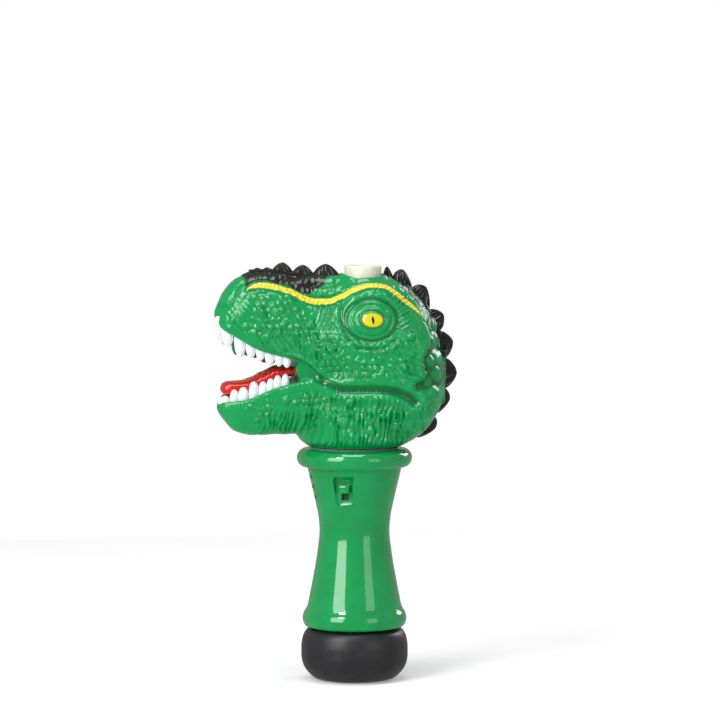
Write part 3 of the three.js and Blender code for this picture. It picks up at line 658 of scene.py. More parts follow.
PLAIN_FINISHES = (
    Finish("grey_plastic", (0.44, 0.46, 0.48), (0.5, 0.52, 0.54), (0.42, 0.52)),
    Finish("milky_plastic", (0.72, 0.76, 0.78), (0.8, 0.83, 0.85), (0.28, 0.4)),
    Finish("acetal_white", (0.82, 0.82, 0.79), (0.87, 0.87, 0.85), (0.34, 0.44)),
    Finish("tray_black", (0.012, 0.012, 0.013), (0.02, 0.02, 0.021), (0.5, 0.65)),
    Finish("steel", (0.52, 0.53, 0.54), (0.6, 0.6, 0.61), (0.24, 0.4), metallic=1, stretch=(1, 6, 6)),
    Finish("brass", (0.62, 0.43, 0.14), (0.7, 0.5, 0.18), (0.26, 0.4), metallic=1),
    Finish("cell_wrap", (0.03, 0.05, 0.11), (0.04, 0.065, 0.13), (0.25, 0.35), coat=0.4),
    Finish("board_green", (0.01, 0.11, 0.045), (0.015, 0.15, 0.06), (0.35, 0.5), cloud=1.2),
    Finish("silicone", (0.76, 0.71, 0.62), (0.8, 0.76, 0.68), (0.4, 0.5)),
    Finish("cotton", (0.82, 0.8, 0.74), (0.9, 0.88, 0.83), (0.85, 0.95), grain=0.2, depth=0.12),
    # switch_case is a very dark green, painted shade: the switch's case is seen only through the slot, in
    # deep shade.
    Finish("switch_case", (0.0, 0.05, 0.012), (0.0, 0.07, 0.016), (0.35, 0.5)),
    Finish("wire_red", (0.45, 0.01, 0.01), (0.52, 0.015, 0.012), (0.4, 0.5)),
    Finish("wire_black", (0.01, 0.01, 0.011), (0.016, 0.016, 0.017), (0.4, 0.5)),
)


@dataclass(frozen=True)
class HeadPaint:
    """Moulded green plastic with a yellow line, a sprayed black back, a painted eye, and painted shade in its
    creases and hollows.
    """

    green: Colour = (0.0, 0.32, 0.08)
    # deep: the green darkened for painted shade in creases and hollows, and for a faint random tone.
    deep: Colour = (0.0, 0.085, 0.02)
    yellow: Colour = (0.83, 0.66, 0.03)
    amber: Colour = (0.66, 0.62, 0.012)
    rim: Colour = (0.16, 0.2, 0.01)
    black: Colour = (0.011, 0.009, 0.008)
    iris: tuple[float, float] = (5.1, 3.5)
    pupil: tuple[float, float] = (0.62, 1.9)

    def material(self, eye: tuple[float, float]) -> bpy.types.Material:
        """Build the material.

        Args:
            eye: The eye's middle, as Y and Z in millimetres.

        Returns:
            The material, which reads the head's stored distances to its painted edges.
        """
        shader = Shader("head_green", 0.24, Coat_Weight=0.3, Coat_Roughness=0.1, Specular_IOR_Level=0.5)
        _, y, z = shader.place()
        fine = shader.noise(0.5, 3)
        clouds = shader.noise(7, 2)
        # Painted shade: the stored 'low' value darkens the green towards deep in creases, hollows and under
        # edges; the clouds add a faint random tone.
        low = shader.attribute("low")
        colour = shader.mix((low * 0.8 + clouds.step(0.35, 0.8) * 0.12), self.green, self.deep)
        spray = shader.attribute("spray") + (shader.noise(1.1, 4, 0.7) - 0.5) * 0.5
        black = spray.step(0.42, 0.62)
        colour = shader.mix(black, colour, self.black)
        edge = STRIPE_REACH - shader.attribute("stripe") + (shader.noise(1.6, 2) - 0.5) * 0.35
        yellow = edge.step(0.12, -0.12)
        colour = shader.mix(yellow, colour, self.yellow)
        across, up = y - eye[0], z - eye[1]
        iris = ((across / self.iris[0]) ** 2 + (up / self.iris[1]) ** 2).root()
        side = shader.attribute("side")
        colour = shader.mix(iris.step(1.14, 1.06) * side, colour, self.rim)
        colour = shader.mix(iris.step(1.0, 0.94) * side, colour, self.amber)
        lean = across + up * 0.12
        pupil = ((lean / self.pupil[0]) ** 2 + (up / self.pupil[1]) ** 2).root()
        colour = shader.mix(pupil.step(1.1, 0.9) * side, colour, self.black)
        shader.feed(Base_Color=colour, Roughness=fine * 0.08 + 0.13 + black * 0.06)
        shader.relief(fine, 0.008)
        return shader.material


@dataclass(frozen=True)
class ToothEnamel:
    """White paint on the outer side of green moulded teeth; the bare green is darker than the head's green,
    as painted shade inside the mouth.
    """

    white: Colour = (0.84, 0.88, 0.9)
    # The bare green is a darkened copy of the head's green: painted shade for the teeth's inner faces inside
    # the mouth.
    green: Colour = (0.0, 0.2, 0.05)

    def material(self) -> bpy.types.Material:
        """Build the material, which reads how far each point faces out of the mouth."""
        shader = Shader("tooth_white", 0.25, Coat_Weight=0.4, Coat_Roughness=0.1)
        painted = (shader.attribute("painted") + (shader.noise(0.9, 3) - 0.5) * 0.25).step(0.3, 0.42)
        shader.feed(Base_Color=shader.mix(painted, self.green, self.white))
        shader.relief(shader.noise(0.6), 0.04)
        return shader.material


@dataclass(frozen=True)
class GlossGreen:
    """Bright polished green plastic, with a little waviness and faint handling marks."""

    green: Colour = (0.0, 0.31, 0.075)
    deep: Colour = (0.0, 0.265, 0.062)

    def material(self) -> bpy.types.Material:
        """Build the material."""
        shader = Shader("handle_green", 0.1, Coat_Weight=0.6, Coat_Roughness=0.04, Specular_IOR_Level=0.6)
        clouds = shader.noise(14, 2)
        marks = shader.noise(0.4, 4, 0.7, (1, 1, 0.25))
        shader.feed(Base_Color=shader.mix(clouds.step(0.3, 0.7), self.green, self.deep))
        shader.feed(Roughness=marks.step(0.5, 0.8) * 0.1 + 0.08)
        shader.relief(clouds + marks * 0.02, 0.06)
        return shader.material


@dataclass(frozen=True)
class SatinBlack:
    """Black plastic or rubber with a fine grain that dust makes a little paler."""

    slot: str
    colour: Colour
    dust: Colour
    rough: tuple[float, float]
    grain: float
    depth: float

    def material(self) -> bpy.types.Material:
        """Build the material."""
        shader = Shader(self.slot, self.rough[0], Specular_IOR_Level=0.5)
        fine = shader.noise(self.grain, 3, 0.6)
        patches = shader.noise(9, 4, 0.65)
        shader.feed(Base_Color=shader.mix(patches.step(0.4, 0.9) * fine, self.colour, self.dust))
        shader.feed(Roughness=patches * (self.rough[1] - self.rough[0]) + self.rough[0])
        shader.relief(fine, self.depth)
        return shader.material


@dataclass(frozen=True)
class WetRed:
    """Shiny red plastic with painted shade in its furrows, from the tongue's stored 'low' value, and darker
    patches from noise.
    """

    red: Colour = (0.62, 0.007, 0.003)
    deep: Colour = (0.2, 0.002, 0.001)

    def material(self) -> bpy.types.Material:
        """Build the material."""
        shader = Shader("tongue_red", 0.12, Coat_Weight=0.8, Coat_Roughness=0.05)
        lumps = shader.noise(1.6, 3)
        # Painted shade: the stored 'low' value darkens the furrows; the lumps add darker noise patches.
        shade = shader.attribute("low") + lumps.step(0.6, 0.9) * 0.3
        shader.feed(Base_Color=shader.mix(shade, self.red, self.deep))
        shader.relief(lumps, 0.25)
        return shader.material


@dataclass(frozen=True)
class CreamPlastic:
    """Warm off-white plastic, a little yellowed."""

    cream: Colour = (0.86, 0.83, 0.7)
    yellowed: Colour = (0.78, 0.73, 0.56)

    def material(self) -> bpy.types.Material:
        """Build the material."""
        shader = Shader("nozzle_cream", 0.4, Coat_Weight=0.1)
        age = shader.noise(5, 3)
        shader.feed(Base_Color=shader.mix(age.step(0.45, 0.85), self.cream, self.yellowed))
        shader.feed(Roughness=shader.noise(0.7) * 0.15 + 0.32)
        shader.relief(shader.noise(0.5), 0.03)
        return shader.material


# Repeats, made with Geometry Nodes -------------------------


@dataclass
class Repeat:
    """Copies of one small piece, put on points that carry their own turn and size."""

    name: str
    piece: bpy.types.Object
    material: bpy.types.Material
    places: list[tuple[float, float, float]] = field(default_factory=list)
    turns: list[tuple[float, float, float]] = field(default_factory=list)
    sizes: list[tuple[float, float, float]] = field(default_factory=list)

    def put(self, place: Sequence[float], turn: Sequence[float], size: Sequence[float]) -> None:
        """Add one copy: where it goes in millimetres, its turns in degrees, and its size."""
        self.places.append(tuple(place))
        self.turns.append(tuple(math.radians(angle) for angle in turn))
        self.sizes.append(tuple(size))

    def tree(self) -> bpy.types.NodeTree:
        """Build the node tree that puts the piece on each point and gives it its material."""
        tree = bpy.data.node_groups.new(self.name, "GeometryNodeTree")
        sides = tree.interface
        sides.new_socket("Geometry", in_out="INPUT", socket_type="NodeSocketGeometry")
        sides.new_socket("Piece", in_out="INPUT", socket_type="NodeSocketObject")
        sides.new_socket("Scale", in_out="INPUT", socket_type="NodeSocketFloat")
        sides.new_socket("Geometry", in_out="OUTPUT", socket_type="NodeSocketGeometry")
        made = {key: tree.nodes.new(kind) for key, kind in {
            "start": "NodeGroupInput", "piece": "GeometryNodeObjectInfo",
            "turn": "GeometryNodeInputNamedAttribute", "size": "GeometryNodeInputNamedAttribute",
            "grow": "ShaderNodeVectorMath",
            "spread": "GeometryNodeInstanceOnPoints", "real": "GeometryNodeRealizeInstances",
            "dress": "GeometryNodeSetMaterial", "end": "NodeGroupOutput",
        }.items()}
        made["turn"].data_type = made["size"].data_type = "FLOAT_VECTOR"
        made["turn"].inputs["Name"].default_value = "turn"
        made["size"].inputs["Name"].default_value = "size"
        made["grow"].operation = "SCALE"
        made["dress"].inputs["Material"].default_value = self.material
        for source, out, target, into in (
            ("start", "Geometry", "spread", "Points"), ("start", "Piece", "piece", "Object"),
            ("piece", "Geometry", "spread", "Instance"), ("turn", "Attribute", "spread", "Rotation"),
            ("size", "Attribute", "grow", 0), ("start", "Scale", "grow", "Scale"),
            ("grow", 0, "spread", "Scale"), ("spread", "Instances", "real", "Geometry"),
            ("real", "Geometry", "dress", "Geometry"), ("dress", "Geometry", "end", "Geometry"),
        ):
            tree.links.new(made[source].outputs[out], made[target].inputs[into])
        return tree

    def build(self) -> bpy.types.Object:
        """Run the tree and give one plain mesh of all the copies."""
        item = mesh_object(self.name, np.array(self.places), [])
        for name, rows in (("turn", self.turns), ("size", self.sizes)):
            data = item.data.attributes.new(name, "FLOAT_VECTOR", "POINT")
            data.data.foreach_set("vector", np.array(rows, dtype=np.float32).ravel())
        tree = self.tree()
        step = item.modifiers.new(self.name, "NODES")
        step.node_group = tree
        inputs = [socket for socket in tree.interface.items_tree if socket.in_out == "INPUT"]
        sockets = {socket.name: socket.identifier for socket in inputs}
        step[sockets["Piece"]] = self.piece
        step[sockets["Scale"]] = 1.0
        made = plain_mesh(item)
        mesh = self.piece.data
        bpy.data.objects.remove(self.piece)
        bpy.data.meshes.remove(mesh)
        return made


# Head and its skin -----------------------------------------


@dataclass(frozen=True)
class Bump:
    """A wart or a pit: its middle as Y and Z, its radius, and how far it stands up."""

    middle: tuple[float, float]
    radius: float
    height: float


@dataclass(frozen=True)
class Furrows:
    """A patch of parallel ridges on the side of the head."""

    ys: tuple[float, float]
    zs: tuple[float, float]
    pitch: float
    height: float
    lean: float
    wander: float


@dataclass(frozen=True)
class Zone:
    """A soft-edged patch on the side of the head: where it lies, how soft its edge is, and its strength."""

    ys: tuple[float, float]
    zs: tuple[float, float]
    soft: float
    strength: float = 1

    def cover(self, y: Array, z: Array) -> Array:
        """Give the patch's strength at each place."""
        return self.strength * patch(y, z, self.ys, self.zs, self.soft)


@dataclass(frozen=True)
class Pebbles:
    """Bead-like scales: how far apart they are, which share is missing, how tall, and where."""

    size: float
    missing: float
    tall: float
    zones: tuple[Zone, ...]


class Skin:
    """The left half's skin under work: how far each point moves out, where its paint goes, and where painted
    shade darkens it.
    """

    def __init__(self, head: "Head", points: Array, normals: Array) -> None:
        """Start with the smooth skin.

        Args:
            head: The head, which holds the details' places.
            points: The smooth head's points.
            normals: The way each of them faces.
        """
        self.head = head
        self.points = points
        self.normals = normals
        self.x, self.y, self.z = points.T
        self.side = ease(normals[:, 0] * 2.4 - 0.15)
        self.cells, self.fine_cells, self.beads = Cells(11), Cells(5), Cells(7, 0.42)
        self.height = np.zeros(len(points))
        # low: painted shade from 0 to 1, which darkens the green in creases, hollows and under edges.
        self.low = np.zeros(len(points))
        self.stripe = np.zeros(len(points))
        self.spray = np.zeros(len(points))
        self.calm = 1 - ease((1.25 - self.oval(head.eye_socket)) / 0.3)

    def oval(self, radii: tuple[float, float], tilt: float | None = None) -> Array:
        """Measure from the eye's middle: 1 on an oval of these radii."""
        tilt = self.head.eye_tilt if tilt is None else tilt
        return oval(self.y, self.z, self.head.eye, radii, tilt)

    def path(self, path: Sequence[Sequence[float]]) -> tuple[Array, Array]:
        """Give the distance to a line on the side of the head, and on which side of it a point lies."""
        distance, _, left = to_path(self.points[:, 1:], smoothed(path))
        return distance, left

    def raise_eye(self) -> None:
        """Make a smooth socket, the domed lids, and the ball between them."""
        dome, socket = self.oval(self.head.eye_lids), self.oval(self.head.eye_socket)
        ball = self.oval(self.head.eye_ball, 0)
        eye = 2.9 * np.sqrt(np.clip(1 - dome**2, 0, 1)) - 0.9 * bell(socket - 1.02, 0.1)
        rings = np.zeros(len(self.points))
        for reach in self.head.lid_rings:
            rings -= 0.42 * bell(ball - reach, 0.07)
        eye += rings * (dome < 1.1) * ease((self.head.eye[0] + 3 - self.y) / 5 + 0.5)
        eye += -0.55 * bell(ball - 1.06, 0.09) + 0.55 * np.sqrt(np.clip(1 - ball**2, 0, 1)) * (ball < 1)
        self.height += eye * self.side
        # Painted shade in the groove round the ball and at the socket's edge.
        self.low += (0.7 * bell(ball - 1.1, 0.1) + 0.5 * bell(socket - 1.03, 0.08)) * self.side

    def scatter_pebbles(self) -> None:
        """Pack bead-like scales on the snout, and scatter them on the cheek."""
        y, z = self.y, self.z
        for row in self.head.pebbles:
            first, _, worth = self.beads.nearest((y + 0.5 * z) / row.size, 0.9 * z / row.size)
            radius = 0.36 + 0.12 * worth
            dome = np.clip(1 - (first / (1.12 * radius)) ** 2, 0, 1) ** 1.3
            zones = np.clip(sum(zone.cover(y, z) for zone in row.zones), 0, 1)
            cover = (worth > row.missing) * zones * self.side
            self.height += row.tall * (0.55 + 0.6 * worth) * dome * cover * self.calm
            # Painted shade in a ring at each bead's foot.
            self.low += 0.16 * bell(first / radius - 1.1, 0.25) * cover

    def crease_nets(self) -> None:
        """Press in wrinkled patches, like a net of soft creases."""
        y, z, cells = self.y, self.z, self.cells
        cover = np.clip(sum(zone.cover(y, z) for zone in self.head.nets), 0, 1) * self.side
        first, second, _ = cells.nearest(y / 3.6 + 0.25 * cells.cloud(y / 3, z / 3), z / 3.1)
        net = ease((second - first) / 0.3) - 1
        self.height += 0.55 * net * cover * self.calm
        # Painted shade in the net's creases.
        self.low -= 0.25 * net * cover

    def plough_furrows(self) -> None:
        """Raise the patches of parallel ridges, each ridge with breaks of its own."""
        y, z = self.y, self.z
        for row in self.head.furrows:
            lean = math.radians(row.lean)
            across = y * math.sin(lean) - z * math.cos(lean)
            along = y * math.cos(lean) + z * math.sin(lean)
            phase = (across + row.wander * self.cells.cloud(across / 6, along / 5)) / row.pitch
            ridge = np.floor(phase)
            strength = 0.45 + 0.55 * ease(0.5 + self.fine_cells.cloud(ridge, along / 4.5 + 9 * ridge))
            ridges = ((0.5 + 0.5 * np.cos(2 * math.pi * phase)) ** 1.4 - 0.35) * strength
            mask = patch(y, z, row.ys, row.zs, 4) * self.calm * self.side
            self.height += 1.7 * row.height * ridges * mask
            # Painted shade in the valleys between the ridges.
            self.low += 0.3 * bell(np.abs(np.cos(math.pi * phase)), 0.3) * strength * mask

    def fold_cheek(self) -> None:
        """Sink the long fold behind the mouth, with rolled edges, and the crease in front of the eye."""
        distance, left = self.path(self.head.groove)
        fold = ease((2.9 - distance) / 2.3)
        self.height *= 1 - ease((4.6 - distance) / 2)
        roll = bell(distance - 4.2, 1.7) * np.where(left < 0, 1, 0.5)
        self.height += (-1.7 * fold + 0.9 * roll) * self.side
        # Painted shade along the fold.
        self.low += 0.5 * bell(distance, 1.4) * self.side
        distance, left = self.path(self.head.socket_crease)
        crease_height = -0.75 * bell(distance, 0.8) + 0.5 * bell(distance - 1.8, 1.1) * (left < 0)
        self.height += 0.9 * crease_height * self.side
        # Painted shade in the crease in front of the eye.
        self.low += 0.35 * bell(distance, 0.6) * self.side

    def end_cheek(self) -> None:
        """End the cheek in a step, with rounded lobes over the nape behind it."""
        y, z, side = self.y, self.z, self.side
        distance, left = self.path(self.head.frill)
        behind = distance * np.where(left > 0, 1, -1)
        lobed = 0.5 * np.sin(z * 1.9) + 0.4 * self.cells.cloud(y / 2.2, z / 2.2)
        reaches = ease((z - 145) / 4)
        step = ease((behind + lobed) / 2.2) * reaches
        sunk = -2.1 * step * bell(np.maximum(behind, 0), 12)
        self.height += (sunk + 0.9 * bell(behind + 1.8, 1.4) * reaches) * side
        # Painted shadow just behind the cheek's step.
        self.low += 0.8 * bell(behind - 1.2, 0.9) * side * reaches
        lobe_height = np.zeros(len(self.points))
        for lobe_y, lobe_z, wide, tall in self.head.lobes:
            r = oval(y, z, (lobe_y, lobe_z), (wide, tall), 12)
            lobe_height = np.maximum(lobe_height, 1.3 * np.sqrt(np.clip(1 - r**2, 0, 1)))
        self.height += lobe_height * np.maximum(step, ease((behind - 1) / 2)) * ease(self.normals[:, 0] * 4)
        # Painted shade on the sunk nape between the lobes.
        self.low += 0.3 * step * (lobe_height < 0.4) * side

    def add_warts(self) -> None:
        """Add the large warts, each in a shallow ring."""
        for wart in self.head.warts:
            r = np.hypot(self.y - wart.middle[0], self.z - wart.middle[1]) / wart.radius
            ring = 0.3 * bell(r - 1.15, 0.16)
            self.height += 1.15 * wart.height * (np.clip(1 - r**2, 0, 1) ** 0.85 - ring) * self.side

    def add_plate(self) -> None:
        """Lay a long smooth plate over the front of the snout."""
        plate = oval(self.y, self.z, self.head.plate, self.head.plate_radii, self.head.plate_tilt)
        self.height *= 1 - 0.9 * ease((1.3 - plate) / 0.3)
        self.height += 1.2 * np.clip(1 - plate**2, 0, 1) ** 0.8
        self.height -= 0.3 * bell(plate - 1.16, 0.14) * self.side
        # Painted shade in the crease round the plate.
        self.low += 0.35 * bell(plate - 1.1, 0.1) * self.side

    def back_scales(self) -> Array:
        """Give the heights of the back's round scales, up to 1."""
        first, _, worth = self.cells.nearest(self.y / 2.6 + 31, (self.z + self.x) / 2.6)
        return np.sqrt(np.clip(1 - (first / 0.5) ** 2, 0, 1)) * (0.4 + 0.6 * worth)

    def add_back(self) -> None:
        """Run a painted cord of beads along the edge of the back, which is scaly and sprayed black."""
        x, y, z = self.x, self.y, self.z
        ridge = smoothed(self.head.ridge)
        distance, along, _ = to_path(self.points, ridge)
        total = float(np.linalg.norm(np.diff(ridge, axis=0), axis=1).sum())
        half = 1.35 * ease((along - 7) / 9) * ease((total - 26 - along) / 20 + 0.15) + 0.25
        ends = ease((along - 6) / 3) * ease((total - 22 - along) / 6)
        cord = np.sqrt(np.clip(1 - (distance / (half + 0.5)) ** 2, 0, 1))
        pearls = 0.62 + 0.38 * np.abs(np.sin(along * math.pi / 2.1))
        self.height += 1.05 * cord * pearls * ends - 0.4 * bell(distance - half - 0.9, 0.5) * ends
        self.stripe = np.where(ends > 0.02, distance - half * ends, 5)

        inside = np.interp(y, ridge[:, 1], ridge[:, 0]) - x
        over = z - np.interp(y, ridge[:, 1], ridge[:, 2])
        above = ease((over + 0.5) / 1.5) * ease((self.normals[:, 2] + 0.2) * 3)
        scales = self.back_scales()
        back = above * ease((-6 - y) / 5) * ease((y + 60) / 6)
        bands = np.abs(np.sin((z - 0.25 * y) * 0.42 + 0.6 * self.cells.cloud(y / 7, z / 5)))
        self.height += (0.75 * scales + 0.8 * bands - 0.4) * back * ease((distance - half - 0.8) / 1.2)
        self.height += 0.5 * scales * above * ease((y - 14) / 4) * ease((inside - 1) / 2)
        edge = -24 + 1.25 * (z - 191) - y
        spray = back * ease((distance - half - 0.3) / 1.6) * ease((edge + 2) / 7) * (0.6 + 0.6 * (1 - bands))
        crest = ease((7.5 - x) / 3.5) * ease((y - 8) / 5) * ease((z - 122) / 8)
        self.spray = np.maximum(spray, 0.9 * crest * (self.normals[:, 0] < 0.9))

    def soften(self) -> None:
        """Make every stretch a little uneven, so that none looks turned or extruded."""
        x, y, z = self.x, self.y, self.z
        self.height += 0.2 * self.cells.cloud(y / 4.5, z / 4.5 + x / 5) * self.calm
        self.height += 0.05 * self.fine_cells.cloud(y / 1.7 + x / 2, z / 1.7) * self.calm

    def smooth_mouth(self) -> None:
        """Keep the skin that is stretched across the corner of the mouth smooth, and a little deeper."""
        y, z, side = self.y, self.z, self.side
        cheek = self.head.cheek_edge(y) - z
        taut = ease(cheek / 1.2) * ease((z - self.head.jaw_rim(y)) / 1.2) * ease((-16.5 - y) / 2)
        lip = 0.7 * bell(cheek + 1.1, 1.0) * ease((-14 - y) / 4) * side * (y > -36)
        self.height = self.height * (1 - taut) - 0.5 * taut + lip
        # Painted shade under the cheek's edge at the corner of the mouth; the taut skin drops the shade
        # painted before.
        self.low = self.low * (1 - taut) + 0.6 * bell(cheek - 0.3, 0.7) * (y < -16) * (y > -36) * side

    def ring_nozzle(self) -> None:
        """Raise a scaly rim round the nozzle."""
        away = np.hypot(self.x, self.y - self.head.rim_middle) - self.head.rim_radius
        rim = bell(away, 1.7) * ease(self.normals[:, 2] * 2)
        self.height += 1.3 * rim * (0.8 + 0.3 * self.back_scales())

    def finished(self) -> dict[str, Array]:
        """Work everything out in order.

        Returns:
            "height" in millimetres, and the values that the paint reads.
        """
        for step in (
            self.raise_eye, self.scatter_pebbles, self.crease_nets, self.plough_furrows, self.fold_cheek,
            self.end_cheek, self.add_warts, self.add_plate, self.add_back, self.soften, self.smooth_mouth,
            self.ring_nozzle,
        ):
            step()
        y, z, head = self.y, self.z, self.head
        upper, lower = head.upper_lip(y), head.lower_lip(y)
        inside_mouth = (y < -29) & (np.abs(z - 0.5 * (upper + lower)) < 0.5 * (upper - lower) + 1)
        height = np.where(inside_mouth & (self.normals[:, 0] < 0.5), 0.1 * self.height, self.height)
        height = np.maximum(height, -head.deepest)
        # Painted shade in every hollow, darker where the hollow is deeper.
        low = self.low + 0.55 * np.clip(-height - 0.1, 0, 2)
        keep = ease((z - 117.2) / 3) * ease((self.x - SEAM) / 0.8)
        return {
            "height": height * keep,
            "low": np.clip(low, 0, 1),
            "stripe": np.clip(STRIPE_REACH - self.stripe, 0, 2 * STRIPE_REACH),
            "spray": np.clip(self.spray, 0, 1),
            "side": ease(self.normals[:, 0] * 3),
        }


@dataclass
class Head:
    """The two halves of the hollow head, with teeth, in millimetres.

    The outlines are Y and Z pairs in the middle plane, and the widths are half-widths against Y.
    """

    crown: Line = Line((
        (-71.6, 181), (-70.9, 184), (-66.2, 194), (-59.6, 201.2), (-50, 205), (-31.7, 203.2), (-10, 202.6),
        (13.9, 202.2), (28.6, 195.2), (37.3, 184.8), (43.3, 172.8), (45.6, 160), (46.2, 150),
    ))
    upper_lip: Line = Line((
        (-71.6, 180), (-69.5, 177.2), (-62, 172.4), (-49, 165.2), (-36, 161.6), (-28.5, 159.4), (-22.4, 155),
        (-18.6, 149.6), (-4, 143), (20, 136), (38, 141), (46.2, 155),
    ))
    lower_lip: Line = Line((
        (-69.4, 139), (-68, 141.2), (-57.5, 142.2), (-42.7, 147.8), (-33, 150.6), (-25, 152.4), (-19, 153),
        (-5, 160), (20, 170), (40, 168), (46, 158),
    ))
    chin: Line = Line((
        (-69.4, 138), (-68.4, 134.5), (-66, 130.8), (-60.5, 125.2), (-52, 123.2), (-31, 123.6), (-21, 119),
        (0, 117.6), (22, 118.6), (32.2, 122.7), (39, 130.2), (43, 138.2), (45.2, 149), (46, 156),
    ))
    upper_width: Line = Line((
        (-71.7, 1), (-71, 4.8), (-69, 8), (-63, 12), (-45, 15.7), (-30, 18.2), (-15, 21.7), (0, 25.6),
        (15, 28.0), (28, 27.0), (38, 20.6), (44, 12), (46.3, 2),
    ))
    lower_width: Line = Line((
        (-69.5, 1), (-68.8, 4.8), (-66, 8.8), (-55, 13), (-40, 15.2), (-30, 17.2), (-15, 20.8), (0, 25.2),
        (15, 28.0), (28, 27.0), (38, 20.6), (43, 12), (46.2, 2),
    ))
    ridge: tuple = (
        (11, -60.5, 189), (9.6, -54.3, 196.6), (9, -48.8, 198), (9.8, -40.9, 196.8), (10.6, -33, 194.2),
        (11.6, -26.1, 190.9), (12.4, -20.7, 189.8), (13.6, -15.3, 190), (15.4, -8.5, 192.6),
        (17, -1.5, 196.3), (17.8, 5.1, 198.1), (18.2, 11.1, 197.6), (18.4, 16.6, 194.7),
        (18.6, 22.2, 190.2), (18.6, 27.2, 185.8), (17.8, 31.7, 180.4), (16, 35.4, 176.4),
        (13, 39, 170), (8, 43, 160),
    )
    neck: Line = Line(((116.5, 20.8), (118, 23.9), (121.8, 27.3), (134, 27.3)))
    mouth_back: float = -31
    membrane_width: float = 14.8
    grid: Grid = Grid((-1.8, -74, 114), (31.2, 49, 208), 0.52)
    cavity_grid: Grid = Grid((-3, -76, 112), (31.2, 51, 208), 1.2)
    wall: float = 2.1
    deepest: float = 1.25
    fullness: float = 2.35
    eye: tuple[float, float] = (4.6, 181.4)
    eye_tilt: float = 4
    eye_lids: tuple[float, float] = (9.4, 7.6)
    eye_socket: tuple[float, float] = (12.6, 10)
    eye_ball: tuple[float, float] = (5.6, 4.0)
    lid_rings: tuple[float, ...] = (1.32, 1.62, 1.9)
    plate: tuple[float, float] = (-62.4, 195.2)
    plate_radii: tuple[float, float] = (8.4, 2.6)
    plate_tilt: float = 52
    rim_middle: float = 4.3
    rim_radius: float = 11.4

    def middle(self, y: Array) -> Array:
        """Give the height at which the upper head is widest."""
        front = np.minimum(y, -24)
        return self.upper_lip(front) * 0.62 + self.crown(front) * 0.38 - 13 * ease((y + 30) / 40)

    def upper(self, grid: Grid, x: Array, y: Array, z: Array) -> Array:
        """Give the upper head's distance field."""
        p = self.fullness
        ridge = np.array(self.ridge)
        ridge_x = Line(list(zip(ridge[:, 1], ridge[:, 0])))(y)
        ridge_z = Line(list(zip(ridge[:, 1], ridge[:, 2])))(y)
        width = np.maximum(self.upper_width(y), 0.6)
        crown, lip, middle = self.crown(y), self.upper_lip(y), self.middle(y)
        ridge_x = np.clip(ridge_x, 0.2 * width, 0.9 * width)
        ridge_z = np.minimum(ridge_z, crown - 2)
        middle = np.minimum(middle, ridge_z - 3)
        top = (ridge_z - middle) / (1 - (ridge_x / width) ** p) ** (1 / p)
        below = np.maximum(middle - lip, 1)
        below = below * (1 + 0.75 * (1 - ease((y + 28) / 16)))
        height = np.where(z > middle, (np.minimum(z, ridge_z) - middle) / top, (middle - z) / below)
        side = grid.true_size((np.abs(x / width) ** p + height**p) ** (1 / p) - 1)
        side = np.maximum(side, np.maximum(np.abs(y + 12.8) - 58.9, 0.35 * (np.abs(x) - width)))
        roof = grid.true_size(z - crown + (crown - ridge_z) * (x / ridge_x) ** 2 + 0 * side)
        vault = 5 * (1 - np.minimum((x / (0.86 * width)) ** 2, 1))
        open_mouth = 60 * ease((y + 19.5) / 6)
        palate = grid.true_size(lip - open_mouth + vault - z + 0 * side)
        return smooth_max(smooth_max(side, roof, 1.4), palate, 1.7)

    def lower(self, grid: Grid, x: Array, y: Array, z: Array) -> Array:
        """Give the lower jaw's distance field."""
        p = self.fullness + 0.25
        width = np.maximum(self.lower_width(y), 0.6)
        lip, chin = self.lower_lip(y), self.chin(y)
        back = ease((y + 34) / 26)
        middle = np.minimum((lip - 2.5) * (1 - back) + 147 * back, lip - 0.5)
        middle = np.maximum(middle, chin + 0.5)
        top = lip + 6 * (1 - back) - middle
        height = np.where(z > middle, (z - middle) / np.maximum(top, 1), (middle - z) / (middle - chin))
        side = grid.true_size((np.abs(x / width) ** p + height**p) ** (1 / p) - 1)
        beyond = np.maximum(0.35 * (np.abs(x) - width), 0.35 * (chin - z))
        side = np.maximum(side, np.maximum(np.abs(y + 11.7) - 57.8, beyond))
        trough = 3.2 * (1 - np.minimum((x / (0.9 * width)) ** 2, 1))
        rim = grid.true_size(z - (lip - trough + 40 * ease((y + 20) / 6)) + 0 * side)
        return smooth_max(side, rim, 2.4)

    def whole(self, grid: Grid) -> Array:
        """Give the field of the whole outer head, without its teeth."""
        x, y, z = grid.axes()
        solid = smooth_min(self.upper(grid, x, y, z), self.lower(grid, x, y, z), 3)
        radius = np.hypot(x, y)
        neck = smooth_max(grid.true_size(radius - self.neck(z)), np.abs(z - 126) - 9.5 + 0 * radius, 0.8)
        solid = smooth_min(np.maximum(solid, y + 0.02 * (z - 150) ** 2 / 10 - 46.2), neck, 3.5)
        front = self.mouth_back + 0.35 * (np.abs(z - 157) - 2)
        across = np.maximum(np.abs(x) - self.membrane_width - 0.16 * (y + 31), front - y)
        membrane = np.maximum(across, np.maximum(y + 12, np.abs(z - 156.5) - 9))
        return smooth_min(solid, membrane, 0.9)

